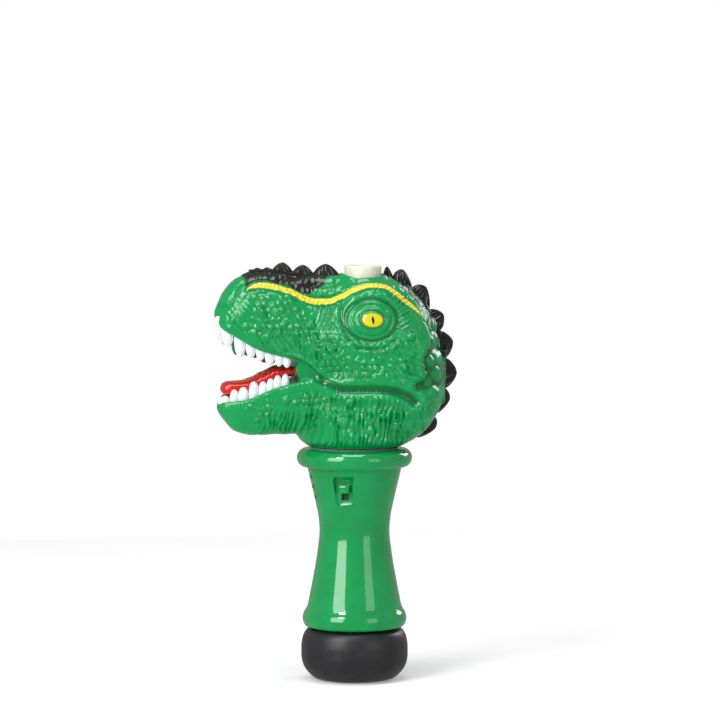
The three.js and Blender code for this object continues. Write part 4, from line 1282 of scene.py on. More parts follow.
    pebbles: tuple[Pebbles, ...] = (
        Pebbles(3.3, 0.08, 0.95, (Zone((-54, -26), (173, 197), 5), Zone((-56, -43), (133, 142), 4, 0.9))),
        Pebbles(3.5, 0.28, 0.95, (Zone((-9, 27), (150, 172), 6),)),
        Pebbles(2.6, 0.2, 0.6, (Zone((-33, -9), (166, 186), 6), Zone((-14, 8), (152, 166), 5, 0.6))),
        Pebbles(2.4, 0.3, 0.4, (Zone((-20, 16), (189, 197), 3),)),
    )
    nets: tuple[Zone, ...] = (Zone((-23, -8), (151, 173), 4), Zone((-31, -15), (138, 146), 3))
    warts: tuple[Bump, ...] = (
        Bump((-63.1, 181), 1.8, 0.8), Bump((-56.7, 177.8), 2.1, 0.9), Bump((-48.4, 184.4), 2.6, 1.1),
        Bump((-46.9, 171.9), 2.4, 0.8), Bump((-24.3, 178.7), 2.1, 1.0), Bump((-15, 167.3), 2.3, 0.9),
        Bump((23.9, 173.2), 2.2, 1.3), Bump((20.3, 158), 1.9, 1.1), Bump((-36.8, 141.5), 2.1, 0.9),
        Bump((-32.1, 140.1), 1.5, 0.6), Bump((-50.8, 131.4), 1.5, 0.6), Bump((-24.3, 130.7), 2.6, 0.9),
        Bump((-5.8, 139.9), 2.2, 0.9), Bump((-9.2, 130.6), 2.8, 1.0), Bump((4.2, 126.8), 2.2, 0.8),
        Bump((10.3, 133.7), 2.1, 0.9), Bump((16.7, 128.2), 2.3, 0.9), Bump((22.4, 134.2), 1.9, 0.8),
        Bump((0.5, 160.2), 1.6, 0.7), Bump((9.5, 155.5), 1.5, 0.7), Bump((-3, 153.6), 1.4, 0.6),
        Bump((14.6, 166.8), 1.5, 0.7), Bump((-37.4, 180.2), 1.7, 0.8), Bump((-31.4, 186.4), 1.5, 0.7),
    )
    furrows: tuple[Furrows, ...] = (
        Furrows((-67, -51), (174, 192), 2.3, 0.26, -50, 0.7),
        Furrows((-52, -35), (164, 177), 2.6, 0.6, -62, 1.1),
        Furrows((-35, -20), (161, 176), 2.0, 0.6, -72, 1.2),
        Furrows((-49, 29), (118, 136), 2.5, 0.75, 86, 1.7),
        Furrows((-27, 22), (131, 143.5), 2.7, 0.8, 82, 1.4),
        Furrows((13.5, 24), (176, 194), 2.4, 0.5, 25, 0.8),
        Furrows((20.5, 30), (150, 164), 2.6, 0.75, -15, 1.6),
        Furrows((-22, -12), (176, 190), 2.1, 0.45, 70, 0.8),
    )
    cheek_edge: Line = Line(((-36, 163.6), (-28.5, 161), (-22.4, 156.4), (-19.4, 152.7), (-15.2, 150.7)))
    jaw_rim: Line = Line(((-32, 149.9), (-25.4, 151.6), (-19.3, 150.6)))
    groove: tuple = (
        (-20.5, 152.4), (-18.4, 151.2), (-8.7, 146.8), (5.9, 147), (15.7, 146), (22.4, 143.4), (26, 140.5),
    )
    socket_crease: tuple = ((-9, 189), (-10.2, 182.9), (-8.2, 174.4), (-1.4, 167.2), (8, 167), (16, 171))
    frill: tuple = (
        (22, 197), (28.6, 190), (33.4, 179), (35.6, 171.3), (31.6, 165.3), (29.9, 160.6), (31.2, 154),
        (25.5, 148.5), (27, 142),
    )
    lobes: tuple = (
        (39.4, 170.5, 3.4, 4.4), (39.7, 162.6, 3.3, 4), (35.2, 160.6, 2.6, 3.4), (38.6, 154, 3.4, 4),
        (33.4, 150.6, 2.6, 3), (36.4, 144.6, 3.2, 4), (31.4, 141.4, 2.8, 3.6), (33, 134.6, 3.4, 3.8),
        (27.6, 134.2, 2.6, 3.6), (29, 127, 3.4, 3.4),
        (34.4, 182.4, 2.6, 5.4), (40, 178, 2, 4),
    )

    def half(self) -> bpy.types.Object:
        """Sculpt the left half, cut to the middle plane but still solid."""
        values = self.whole(self.grid)
        x = self.grid.axes()[0]
        points, quads = self.grid.skin(np.maximum(values, SEAM - x))
        if np.einsum("ij,ij->", vertex_normals(points, quads), points - points.mean(axis=0)) < 0:
            quads = quads[:, ::-1]
        normals = vertex_normals(points, quads)
        made = Skin(self, points, normals).finished()
        points = points + normals * made.pop("height")[:, None]
        points[:, 0] = np.maximum(points[:, 0], SEAM)
        item = mesh_object("head_shell", points, quads)
        for name, column in made.items():
            set_attribute(item, name, column)
        set_attribute(item, "painted", np.zeros(len(points)))
        return item

    def cavity(self) -> bpy.types.Object:
        """Make the solid that hollows the head."""
        values = self.whole(self.cavity_grid) + self.wall
        points, quads = self.cavity_grid.skin(values)
        if np.einsum("ij,ij->", vertex_normals(points, quads), points - points.mean(axis=0)) < 0:
            quads = quads[:, ::-1]
        return mesh_object("cavity", points, quads)

    upper_teeth: tuple = (
        (-68.4, 173.4, 6.4, 4.0), (-64.6, 167.8, 9.6, 5.9), (-58.6, 162.6, 11.4, 5.5),
        (-53.4, 162.1, 8.6, 4.9), (-48.8, 160.8, 7, 4.4), (-44.2, 158.4, 7.2, 4.8),
        (-39.8, 157.8, 6.4, 4), (-35.9, 157.2, 5.4, 3.8),
    )
    lower_teeth: tuple = (
        (-65.7, 143.3, 3.4, 4.9), (-61.4, 146.5, 5.2, 4.2), (-57, 147.8, 6.4, 4.8), (-51.9, 150.6, 7.4, 4.7),
        (-47.4, 150.6, 6.6, 4.3), (-43.7, 152.1, 5.6, 3.8), (-40.2, 153.6, 5.4, 4), (-36.5, 154.3, 4.4, 3.6),
    )
    tooth_root: float = 3
    tooth_inset: float = 1.4

    def teeth(self, enamel: bpy.types.Material) -> bpy.types.Object:
        """Grow the left side's teeth, upper and lower.

        Args:
            enamel: The teeth's material.

        Returns:
            All of them, as one object.
        """
        profile = [
            (0, 0), (0.46, 0), (0.52, 0.18), (0.54, 0.4), (0.52, 0.6), (0.45, 0.77), (0.33, 0.9),
            (0.17, 0.975), (0, 1),
        ]
        row = Repeat("teeth", turned("tooth", profile, 14), enamel)
        jaws = (self.upper_teeth, self.upper_width, 1), (self.lower_teeth, self.lower_width, -1)
        for teeth, width, way in jaws:
            for y, tip, length, wide in teeth:
                total = length + self.tooth_root
                x = max(0.88 * float(width(y)) - 0.46 * wide - self.tooth_inset, 0.46 * wide + 0.2)
                row.put((x, y, tip + way * total), (90 + 90 * way, 0, 0), (wide * 0.92, wide * 1.06, total))
        item = row.build()
        mesh = item.data
        places, normals = (np.empty(len(mesh.vertices) * 3) for _ in range(2))
        mesh.vertices.foreach_get("co", places)
        mesh.vertices.foreach_get("normal", normals)
        y = places[1::3] / MM
        slope = np.clip(self.upper_width(y + 0.5) - self.upper_width(y - 0.5), -4, 4)
        outwards = (normals[0::3] - slope * normals[1::3]) / np.hypot(1, slope)
        set_attribute(item, "painted", 0.5 * outwards + 0.52)
        for name in ("low", "stripe", "spray", "side"):
            set_attribute(item, name, np.zeros(len(mesh.vertices)))
        return item

    def build(self, crests: "Crests", screws: "Screws", outlet: "Outlet") -> list[bpy.types.Object]:
        """Build both halves, cut for everything that the head holds.

        Args:
            crests: The spiked strips, which need their grooves.
            screws: The head's screws, which need bosses and holes.
            outlet: The bubble outlet, which needs the hole in the crown.

        Returns:
            The left and the right half.
        """
        skin, enamel = HeadPaint().material(self.eye), ToothEnamel().material()
        solid = self.half()
        cavity = combined(self.cavity(), Sum.CUT, *screws.bosses())
        openings = [turned("neck_hole", [(0, 112), (19.6, 112), (19.6, 122), (0, 122)], 96), *outlet.holes()]
        hollow = combined(solid, Sum.CUT, cavity, *openings, *crests.grooves())
        hollow.data.materials.append(skin)
        bare = hollow.data.copy()
        right_side = linked("bare", bare)
        halves = []
        for side, item in (("left", hollow), ("right", mirrored(right_side, "head_right"))):
            item = combined(item, Sum.CUT, *screws.holes(side))
            item.data.materials.clear()
            item.data.materials.append(skin)
            teeth = self.teeth(enamel)
            if side == "right":
                left_teeth = teeth
                teeth = mirrored(left_teeth, "teeth_right")
                bpy.data.objects.remove(left_teeth)
            item = joined(f"head_{side}", [item, teeth])
            crease(item, 55)
            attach(item, HOUSING)
            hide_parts(f"head_shell_{side}")
            halves.append(item)
        bpy.data.objects.remove(right_side)
        return halves


# What the head holds ---------------------------------------


def cross_rod(
    name: str, radius: float, low: float, high: float, y: float, z: float, sides: int = 32
) -> bpy.types.Object:
    """Make a round bar along X."""
    turns = np.radians(np.arange(sides) * 360 / sides)
    outline = [(y + radius * math.cos(a), z + radius * math.sin(a)) for a in turns]
    return prism(name, outline, low, high)


@dataclass
class Screws:
    """Screws along X, in from the right-hand side: Y, Z, and how deep the head's seat lies."""

    name: str
    rows: tuple[tuple[float, float, float], ...]
    head: float = 2.4
    head_length: float = 1.6
    shank: float = 1.2
    reach: float = 7
    boss: float = 2.9
    clearance: float = 1.55
    gap: float = 0.3

    def bosses(self) -> list[bpy.types.Object]:
        """Make the bars that leave room for the screws' bosses in a cavity."""
        return [cross_rod("boss", self.boss, -40, 40, y, z) for y, z, _ in self.rows]

    def holes(self, side: str) -> list[bpy.types.Object]:
        """Make the holes that the screws run in, for one half."""
        made = []
        for y, z, depth in self.rows:
            made.append(cross_rod("shank_hole", self.clearance, -40, self.reach + self.gap, y, z, 20))
            if side == "right":
                seat = -depth + self.head_length
                made.append(cross_rod("head_hole", self.head + self.gap, -45, seat, y, z))
        return made

    def build(self, material: bpy.types.Material) -> bpy.types.Object:
        """Make all of this row's screws as one piece, with cross recesses in pan heads."""
        h, r, s = self.head_length, self.head, self.shank
        total = 17.0
        threads = []
        pitch = 0.8
        for i in range(int((total - 3) / pitch)):
            at = total - 1.2 - i * pitch
            threads += [(s, at), (s * 0.78, at - pitch / 2)]
        tip = [(0, total), (s * 0.4, total - 0.3)]
        pan = [(r, h), (r, h * 0.55), (r * 0.86, h * 0.16), (r * 0.6, 0), (0, 0)]
        profile = [*tip, *threads, (s, h + 0.8), (s, h), *pan]
        screw = turned("screw", profile[::-1], 20)
        arms = [((-0.28, -1.4), (0.28, 1.4)), ((-1.4, -0.28), (1.4, 0.28))]
        cutters = []
        for low, high in arms:
            outline = [low, (high[0], low[1]), high, (low[0], high[1])]
            cutters.append(upright("arm", outline, -0.4, 0.9))
        screw = combined(screw, Sum.CUT, *cutters)
        row = Repeat(self.name, screw, material)
        for y, z, depth in self.rows:
            top = -depth - self.gap
            row.put((top, y, z), (0, 90, 0), (1, 1, (self.reach - top) / total))
        item = crease(row.build(), 35)
        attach(item, HOUSING)
        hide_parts(*(f"{self.name}_{i + 1}" for i in range(len(self.rows))))
        return item


def upright(name: str, outline: Pairs, low: float, high: float) -> bpy.types.Object:
    """Make a solid from an outline of X and Y pairs, between two heights."""
    item = prism(name, outline, low, high)
    places = np.empty(len(item.data.vertices) * 3)
    item.data.vertices.foreach_get("co", places)
    rows = places.reshape(-1, 3)[:, [1, 2, 0]]
    item.data.vertices.foreach_set("co", rows.ravel())
    item.data.update()
    return item


@dataclass
class Crests:
    """Black strips let into the middle line, with shell-shaped spikes standing on them."""

    nape: tuple = (
        (15, 201.8), (28.6, 195.5), (37.3, 185), (43.3, 173), (45.9, 159), (44.9, 145), (38.8, 129.5),
        (29, 120.3),
    )
    brow: tuple = ((-53, 204.8), (-42, 205), (-31.7, 203.5), (-20, 202.4), (-6.6, 202))
    snout_spikes: tuple = (
        ((-51.6, 203.8), (-48.9, 206.6), (-45.8, 203.8)), ((-46.8, 203.8), (-43.9, 206.8), (-40.8, 203.6)),
        ((-41.8, 202.4), (-36.2, 209.2), (-30.6, 201.4)), ((-31.6, 201.4), (-26, 207.9), (-20.2, 200.6)),
        ((-21, 200.6), (-14.6, 208.3), (-7.6, 200.2)),
    )
    nape_spikes: tuple = (
        ((14.8, 200), (16.6, 206.8), (20, 198.6)), ((19.2, 199), (24.6, 205.2), (29.2, 193.6)),
        ((28.2, 194), (36.6, 196.2), (36.8, 182.6)), ((36.4, 184), (45.2, 182.8), (42.6, 174)),
        ((42, 173.5), (50.2, 169), (44.8, 160.4)), ((44.6, 160.4), (52.2, 153), (43.8, 145.2)),
        ((44, 145.4), (48.6, 139.6), (40.2, 132.6)), ((39.2, 131.4), (41.2, 125.2), (31, 121)),
    )
    half: float = 3
    depth: float = 3
    gap: float = 0.3
    spike_thick: float = 5.4
    ribs: int = 7

    def strip(
        self, name: str, path: Pairs, inner: float, outer: float, half: float, round_top: bool
    ) -> bpy.types.Object:
        """Run a flat bar along a path, from a depth below it to a height above it."""
        line = smoothed(path, 8)
        way = np.gradient(line, axis=0)
        way /= np.linalg.norm(way, axis=1, keepdims=True)
        out = np.stack([-way[:, 1], way[:, 0]], axis=1)
        section = [(-half, inner), (half, inner), (half, outer)]
        if round_top:
            section += [(half * 0.7, outer + 0.5), (0, outer + 0.75), (-half * 0.7, outer + 0.5)]
        section.append((-half, outer))
        points, count = [], len(section)
        for place, turn in zip(line, out):
            points += [(x, *(place + turn * up)) for x, up in section]
        faces: list[list[int]] = [list(range(count))]
        for i in range(len(line) - 1):
            for j in range(count):
                k = (j + 1) % count
                faces.append([i * count + j, (i + 1) * count + j, (i + 1) * count + k, i * count + k])
        faces.append([(len(line) - 1) * count + j for j in reversed(range(count))])
        mesh = bpy.data.meshes.new(name)
        mesh.from_pydata((np.array(points) * MM).tolist(), [], faces)
        return facing_out(linked(name, mesh))

    def grooves(self) -> list[bpy.types.Object]:
        """Make the solids that cut the strips' grooves."""
        deep = -self.depth - self.gap
        half = self.half + self.gap
        return [self.strip("groove", path, deep, 12, half, False) for path in (self.nape, self.brow)]

    def spike(self, corners: Pairs) -> bpy.types.Object:
        """Make one spike: a ribbed shell that is thick at its base and thin at its edge."""
        a, tip, b = (np.array(corner) for corner in corners)
        foot, base = (a + b) / 2, (b - a) / 2
        rows, columns = 14, 56
        points, faces = [], []
        for i in range(rows):
            v = i / rows
            wide = (1 - v**1.7) ** 0.62 * (1 + 0.1 * math.sin(math.pi * v))
            thick = 0.5 * self.spike_thick * (1 - v) ** 0.75
            centre = foot + (tip - foot) * v
            for j in range(columns):
                angle = 2 * math.pi * j / columns
                u = math.cos(angle)
                rib = 1 + 0.24 * math.cos(math.pi * self.ribs * u) * (1 - 0.5 * v)
                x = thick * math.copysign(abs(math.sin(angle)) ** 0.85, math.sin(angle)) * rib
                points.append((x, *(centre + base * u * wide)))
        points.append((0, *tip))
        for i in range(rows - 1):
            for j in range(columns):
                k = (j + 1) % columns
                faces.append([i * columns + j, i * columns + k, (i + 1) * columns + k, (i + 1) * columns + j])
        last = (rows - 1) * columns
        faces += [[last + j, last + (j + 1) % columns, len(points) - 1] for j in range(columns)]
        faces.append(list(reversed(range(columns))))
        mesh = bpy.data.meshes.new("spike")
        mesh.from_pydata((np.array(points) * MM).tolist(), [], faces)
        return facing_out(linked("spike", mesh))

    def build(self, material: bpy.types.Material) -> list[bpy.types.Object]:
        """Make the snout's crest and the nape's."""
        made = []
        rows = ("snout", self.brow, self.snout_spikes), ("nape", self.nape, self.nape_spikes)
        for name, path, spikes in rows:
            strip = self.strip(f"{name}_spikes", path, -self.depth, 0.2, self.half, True)
            item = combined(strip, Sum.ADD, *(self.spike(corners) for corners in spikes))
            item.data.materials.clear()
            item.data.materials.append(material)
            crease(item, 38)
            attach(item, HOUSING)
            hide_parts(f"{name}_crest")
            made.append(item)
        return made


def facing_out(item: bpy.types.Object) -> bpy.types.Object:
    """Turn a closed mesh's faces outwards."""
    mesh = bmesh.new()
    mesh.from_mesh(item.data)
    bmesh.ops.recalc_face_normals(mesh, faces=mesh.faces)
    if mesh.calc_volume(signed=True) < 0:
        bmesh.ops.reverse_faces(mesh, faces=mesh.faces)
    mesh.to_mesh(item.data)
    mesh.free()
    return item


@dataclass
class Tongue:
    """A thick red tongue that is smooth at its tip and furrowed at its root."""

    top: Line = Line((
        (-67.6, 147), (-66.6, 149.2), (-64, 150.3), (-58, 150.6), (-47, 154.4), (-38, 157.8), (-31.4, 157.4),
    ))
    bottom: Line = Line((
        (-67.6, 146), (-66.8, 144.4), (-64.5, 142.9), (-57, 142.7), (-44, 148), (-36, 151.4), (-31.4, 152.6),
    ))
    half_width: Line = Line(((-67.6, 2), (-66.6, 4.4), (-64, 6), (-58, 7.2), (-45, 8.8), (-31.4, 9.4)))
    rings: int = 120
    sides: int = 56

    def build(self) -> bpy.types.Object:
        """Make the tongue."""
        cells = Cells(3)
        ys = np.linspace(-67.6, -31.4, self.rings)
        angle = np.linspace(0, 2 * math.pi, self.sides, endpoint=False)
        y, a = np.meshgrid(ys, angle, indexing="ij")
        top, bottom, wide = self.top(y), self.bottom(y), self.half_width(y)
        x = wide * np.cos(a)
        tall = (top - bottom) / 2
        rise = np.sign(np.sin(a)) * np.abs(np.sin(a)) ** 0.75
        z = (top + bottom) / 2 + tall * rise
        upper = ease(np.sin(a) * 2)
        rear = ease((y + 58) / 14)
        across, along = y * 0.8 + np.abs(x) * 0.6, x * 0.8
        ridge = np.abs(np.sin(across * 1.5 + cells.cloud(y / 3, x / 3) * 1.6))
        lift = upper * (0.9 * rear * (ridge - 0.6) * (0.5 + cells.cloud(along, y / 2) ** 2))
        lift += upper * 0.5 * cells.cloud(y / 3.4, x / 2.8) * rear
        middle = -0.9 * bell(x, 1.1) * upper * ease((y + 66) / 6)
        z = z + lift + middle
        points = np.stack([x, y, z], axis=-1).reshape(-1, 3)
        faces: list[list[int]] = [list(range(self.sides))]
        for i in range(self.rings - 1):
            for j in range(self.sides):
                k = (j + 1) % self.sides
                n = self.sides
                faces.append([i * n + j, (i + 1) * n + j, (i + 1) * n + k, i * n + k])
        faces.append([(self.rings - 1) * self.sides + j for j in reversed(range(self.sides))])
        mesh = bpy.data.meshes.new("tongue_red")
        mesh.from_pydata((points * MM).tolist(), [], faces)
        item = crease(facing_out(linked("tongue_red", mesh)), 60)
        # Painted shade, stored as 'low': in the furrows between the rear ridges and along the middle groove.
        low = np.clip((0.5 - ridge) * 1.3, 0, 1) * rear * upper + 0.9 * bell(x, 0.7) * upper
        set_attribute(item, "low", np.clip(low, 0, 1).ravel())
        item.data.materials.append(WetRed().material())
        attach(item, HOUSING)
        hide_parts("tongue")
        return item


@dataclass
class Outlet:
    """The cream nozzle that twists in the crown, and the holes that it stands in."""

    centre: tuple[float, float] = (0, 4.3)
    outer: float = 9.25
    bore: float = 7.6
    low: float = 190.6
    top: float = 207.5
    lug: tuple[float, float] = (193, 195)
    lug_depth: float = 0.9
    lug_half: float = 12

    def holes(self) -> list[bpy.types.Object]:
        """Make the holes in the crown: a close one through the skin and a wider one below it."""
        close, wide = self.outer + 0.4, 11.6
        return [
            turned("crown_hole", [(0, 186), (close, 186), (close, 215), (0, 215)], 96, self.centre),
            turned("crown_room", [(0, 184), (wide, 184), (wide, 199.4), (0, 199.4)], 96, self.centre),
        ]

    def build(self) -> bpy.types.Object:
        """Make the nozzle with its two locking lugs."""
        o, b, t = self.outer, self.bore, self.top
        lip = arc((o - 0.9, t - 0.9), 0.9, 0, 90, 5) + arc((b + 0.5, t - 0.5), 0.5, 90, 180, 4)
        foot = [(b, self.low), (o - 0.3, self.low), (o, self.low + 0.3)]
        profile = [*foot, (o, t - 2.6), *lip, (b, t - 2), (b, self.low)]
        pipe = turned("bubble_nozzle", profile, 96, self.centre)
        lugs = []
        for turn in (0, 180):
            angles = np.radians(np.linspace(turn - self.lug_half, turn + self.lug_half, 9))
            ways = [np.array((math.cos(a), math.sin(a))) for a in angles]
            reach = [(self.lug_depth + o) * way + self.centre for way in ways]
            inner = [(o - 0.6) * way + self.centre for way in ways[::-1]]
            lugs.append(upright("lug", [tuple(p) for p in [*reach, *inner]], *self.lug))
        item = combined(pipe, Sum.ADD, *lugs)
        item.data.materials.clear()
        item.data.materials.append(CreamPlastic().material())
        crease(item, 35)
        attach(item, "nozzle_cap")
        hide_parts("nozzle")
        return item


# Handle, switch and base -----------------------------------


def softened(profile: Pairs, steps: int) -> list[tuple[float, float]]:
    """Run a smooth line through a profile's pairs."""
    return [tuple(pair) for pair in smoothed(profile, steps)]


@dataclass
class Handle:
    """The hourglass handle in two glossy halves, with its vents and the switch's recess."""

    foot: tuple = (
        (22.3, 26), (24.2, 26.5), (25.5, 28), (26.1, 30.6), (25.7, 33), (24.4, 35.2), (23.6, 37),
        (23.05, 39.2),
    )
    waist: tuple = ((23.05, 39.2), (18.75, 63), (17.5, 75), (18.1, 82), (19.4, 88.5), (23.3, 105.2))
    ring: tuple = (24.1, 111.3, 4.75)
    bore: tuple = (
        (20.3, 25), (20.3, 42), (18.9, 51.75), (16.7, 63), (15.5, 75), (17.3, 87.5), (20.8, 104),
        (20.8, 113.9), (21.9, 113.9), (21.9, 117),
    )
    lug_groove: tuple[float, float, float] = (22, 28.9, 32.1)
    switch_turn: float = -24
    floor: float = 18.3
    recess: tuple[float, float] = (87.2, 103.4)
    slot: tuple[float, float, float] = (1.85, 91.4, 99.2)
    vents: tuple[float, ...] = (92, 97, 102)
    sides: int = 160

    def turned_to_switch(self, item: bpy.types.Object) -> bpy.types.Object:
        """Turn a solid about the handle's axis, from +X to where the switch is."""
        places = np.empty(len(item.data.vertices) * 3)
        item.data.vertices.foreach_get("co", places)
        rows = places.reshape(-1, 3)
        a = math.radians(self.switch_turn)
        turn = np.array(((math.cos(a), math.sin(a), 0), (-math.sin(a), math.cos(a), 0), (0, 0, 1)))
        item.data.vertices.foreach_set("co", (rows @ turn).ravel())
        item.data.update()
        return item

    def recess_solid(self, grow: float) -> bpy.types.Object:
        """Make the recess's hollow, or with some growth the wall round it."""
        low, high = self.recess
        f = self.floor - grow
        rows = (
            (low - grow, -1.2 - grow, 3.4 + grow, 1.6), (low + 2.2, -4.4 - grow, 4.2 + grow, 2.2),
            (high - 2.2, -5.2 - grow, 2.9 + grow, 4.2), (high + grow, -4.6 - grow, 4.2 + grow, 3.2),
        )
        points, faces = [], []
        for i, (z, front, back, slope) in enumerate(rows):
            out = 1.6 if i in (0, 3) else 0
            points += [(f + out, front, z), (31, front - 0.8, z)]
            points += [(31, back + slope * 2.2, z), (f + out, back, z)]
        for i in range(len(rows) - 1):
            for j in range(4):
                k = (j + 1) % 4
                faces.append([4 * i + j, 4 * i + k, 4 * i + 4 + k, 4 * i + 4 + j])
        faces += [[3, 2, 1, 0], [12, 13, 14, 15]]
        mesh = bpy.data.meshes.new("recess")
        mesh.from_pydata((np.array(points) * MM).tolist(), [], faces)
        item = facing_out(linked("recess", mesh))
        step = item.modifiers.new("soften", "BEVEL")
        step.width, step.segments = 0.7 * MM, 3
        return self.turned_to_switch(plain_mesh(item))

    def build(self, screws: Screws) -> list[bpy.types.Object]:
        """Make both halves of the handle."""
        x, z, r = self.ring
        rim = [*arc((x, z), r, -62, 80, 22), (21.95, 116)]
        side = [*softened(self.foot, 4), *softened(self.waist, 6)[1:], (23.6, 106.4)]
        outline = [(0, 26), *side, *rim, (0, 116)]
        body = turned("handle", outline, self.sides)
        bosses = combined(turned("body", outline, self.sides), Sum.SHARE, joined("boss", screws.bosses()))
        wall = combined(self.recess_solid(1.5), Sum.SHARE, turned("body", outline, self.sides))
        room = turned("room", [(0, 25), *self.bore, (0, 117)], self.sides)
        room = combined(room, Sum.CUT, bosses, wall)
        out, low, high = self.lug_groove
        groove = turned("groove", [(20, low), (out, low), (out, high), (20, high), (20, low)], self.sides)
        half, slot_low, slot_high = self.slot
        slot_line = [(14, -half), (22, -half), (22, half), (14, half)]
        slot = self.turned_to_switch(upright("slot", slot_line, slot_low, slot_high))
        gap = [(-3.5, -35), (3.5, -35), (3.5, -12), (-3.5, -12)]
        vents = [upright("vent", gap, z - 0.85, z + 0.85) for z in self.vents]
        shell = combined(body, Sum.CUT, room, groove, self.recess_solid(0), slot, *vents)
        material = GlossGreen().material()
        halves = []
        for side, ends in (("left", (SEAM, 60)), ("right", (-60, -SEAM))):
            item = linked(f"handle_{side}", shell.data.copy())
            box = prism("half", [(-60, 0), (60, 0), (60, 150), (-60, 150)], *ends)
            item = combined(item, Sum.SHARE, box)
            item = combined(item, Sum.CUT, *screws.holes(side))
            item.data.materials.clear()
            item.data.materials.append(material)
            crease(item, 32)
            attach(item, HOUSING)
            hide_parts(f"handle_shell_{side}")
            halves.append(item)
        bpy.data.objects.remove(shell)
        self.knob(material)
        return halves

    def knob(self, material: bpy.types.Material) -> bpy.types.Object:
        """Make the switch's knob: a rounded block with a step, on a stem."""
        f = self.floor + 0.3
        block = [(f, -2.6), (f + 2.7, -2.6), (f + 2.7, 2.6), (f, 2.6)]
        cap = upright("switch_slider_knob", block, 94.9, 99.1)
        step = cap.modifiers.new("soften", "BEVEL")
        step.width, step.segments = 0.6 * MM, 4
        cap = plain_mesh(cap)
        nib = upright("nib", [(f + 1, -2.4), (f + 3.3, -2.1), (f + 3.3, 2.1), (f + 1, 2.4)], 95.3, 96.5)
        stem = upright("stem", [(f - 1.5, -1.4), (f + 1, -1.4), (f + 1, 1.4), (f - 1.5, 1.4)], 96, 98)
        item = self.turned_to_switch(combined(cap, Sum.ADD, nib, stem))
        item.data.materials.clear()
        item.data.materials.append(material)
        crease(item, 32)
        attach(item, "switch_slider")
        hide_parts("switch_knob")
        return item


@dataclass
class Base:
    """The black battery cap: a fat puck with a bayonet spigot inside the handle."""

    outline: tuple = (
        (18, 0), (20.4, 0.8), (22.6, 2.6), (25, 5.6), (26.3, 8.8), (26.75, 12), (26.75, 16.4), (26.3, 20),
        (25.2, 23.2), (23.6, 25), (22, 25.5),
    )
    inside: tuple = ((17, 22.9), (21.4, 22.1), (23.9, 17), (23.9, 10), (21, 5), (17, 3), (0, 3))
    spigot: tuple[float, float, float] = (19.9, 17, 34)
    lug: tuple[float, float] = (29.2, 31.8)

    def build(self) -> bpy.types.Object:
        """Make the cap."""
        out, inner, top = self.spigot
        profile = [(0, 0.5), (15.4, 0.5), (16.2, 0), *softened(self.outline, 3)]
        profile += [(out + 0.4, 25.5), (out, 26), (out, top - 0.4), (out - 0.4, top), (inner, top)]
        profile += self.inside
        cup = turned("battery_cap", profile, 128)
        lugs = []
        for turn in (0, 180):
            angles = np.radians(np.linspace(turn - 8, turn + 8, 9))
            reach = [(21.7 * math.cos(a), 21.7 * math.sin(a)) for a in angles]
            root = [(19 * math.cos(a), 19 * math.sin(a)) for a in angles[::-1]]
            lugs.append(upright("lug", [*reach, *root], *self.lug))
        item = combined(cup, Sum.ADD, *lugs)
        item.data.materials.clear()
        black, dust = (0.016, 0.016, 0.018), (0.05, 0.05, 0.054)
        finish = SatinBlack("base_black", black, dust, (0.28, 0.42), 0.35, 0.07)
        item.data.materials.append(finish.material())
        crease(item, 35)
        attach(item, "base")
        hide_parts("base_cap")
        return item


@dataclass
class NeckCollar:
    """The pale ring on which the head's neck sits, seen in the gap below the head."""

    profile: tuple = (
        (17.4, 112.6), (20.1, 112.6), (20.4, 112.9), (20.4, 114.2), (21.3, 114.2), (21.5, 114.4), (21.5, 116),
        (21.3, 116.2), (19.2, 116.2), (19.2, 118.9), (21.2, 118.9), (21.4, 119.1), (21.4, 120.2),
        (21.2, 120.4), (17.4, 120.4), (17.4, 112.6),
    )

    def build(self, material: bpy.types.Material) -> bpy.types.Object:
        """Make the collar."""
        item = turned("neck_ring", self.profile, 128)
        item.data.materials.append(material)
        crease(item, 35)
        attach(item, HOUSING)
        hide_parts("neck_collar")
        return item


# Studio ----------------------------------------------------


@dataclass(frozen=True)
class Lamp:
    """A soft rectangular light: where it stands and what it is aimed at, in metres."""

    name: str
    place: tuple[float, float, float]
    aim: tuple[float, float, float]
    size: tuple[float, float]
    power: float

    def build(self) -> None:
        """Put the light in the scene."""
        data = bpy.data.lights.new(self.name, "AREA")
        data.shape = "RECTANGLE"
        data.size, data.size_y = self.size
        data.energy = self.power
        item = bpy.data.objects.new(self.name, data)
        bpy.context.scene.collection.objects.link(item)
        item.location = self.place
        item.rotation_mode = "QUATERNION"
        item.rotation_quaternion = (Vector(self.aim) - Vector(self.place)).to_track_quat("-Z", "Y")


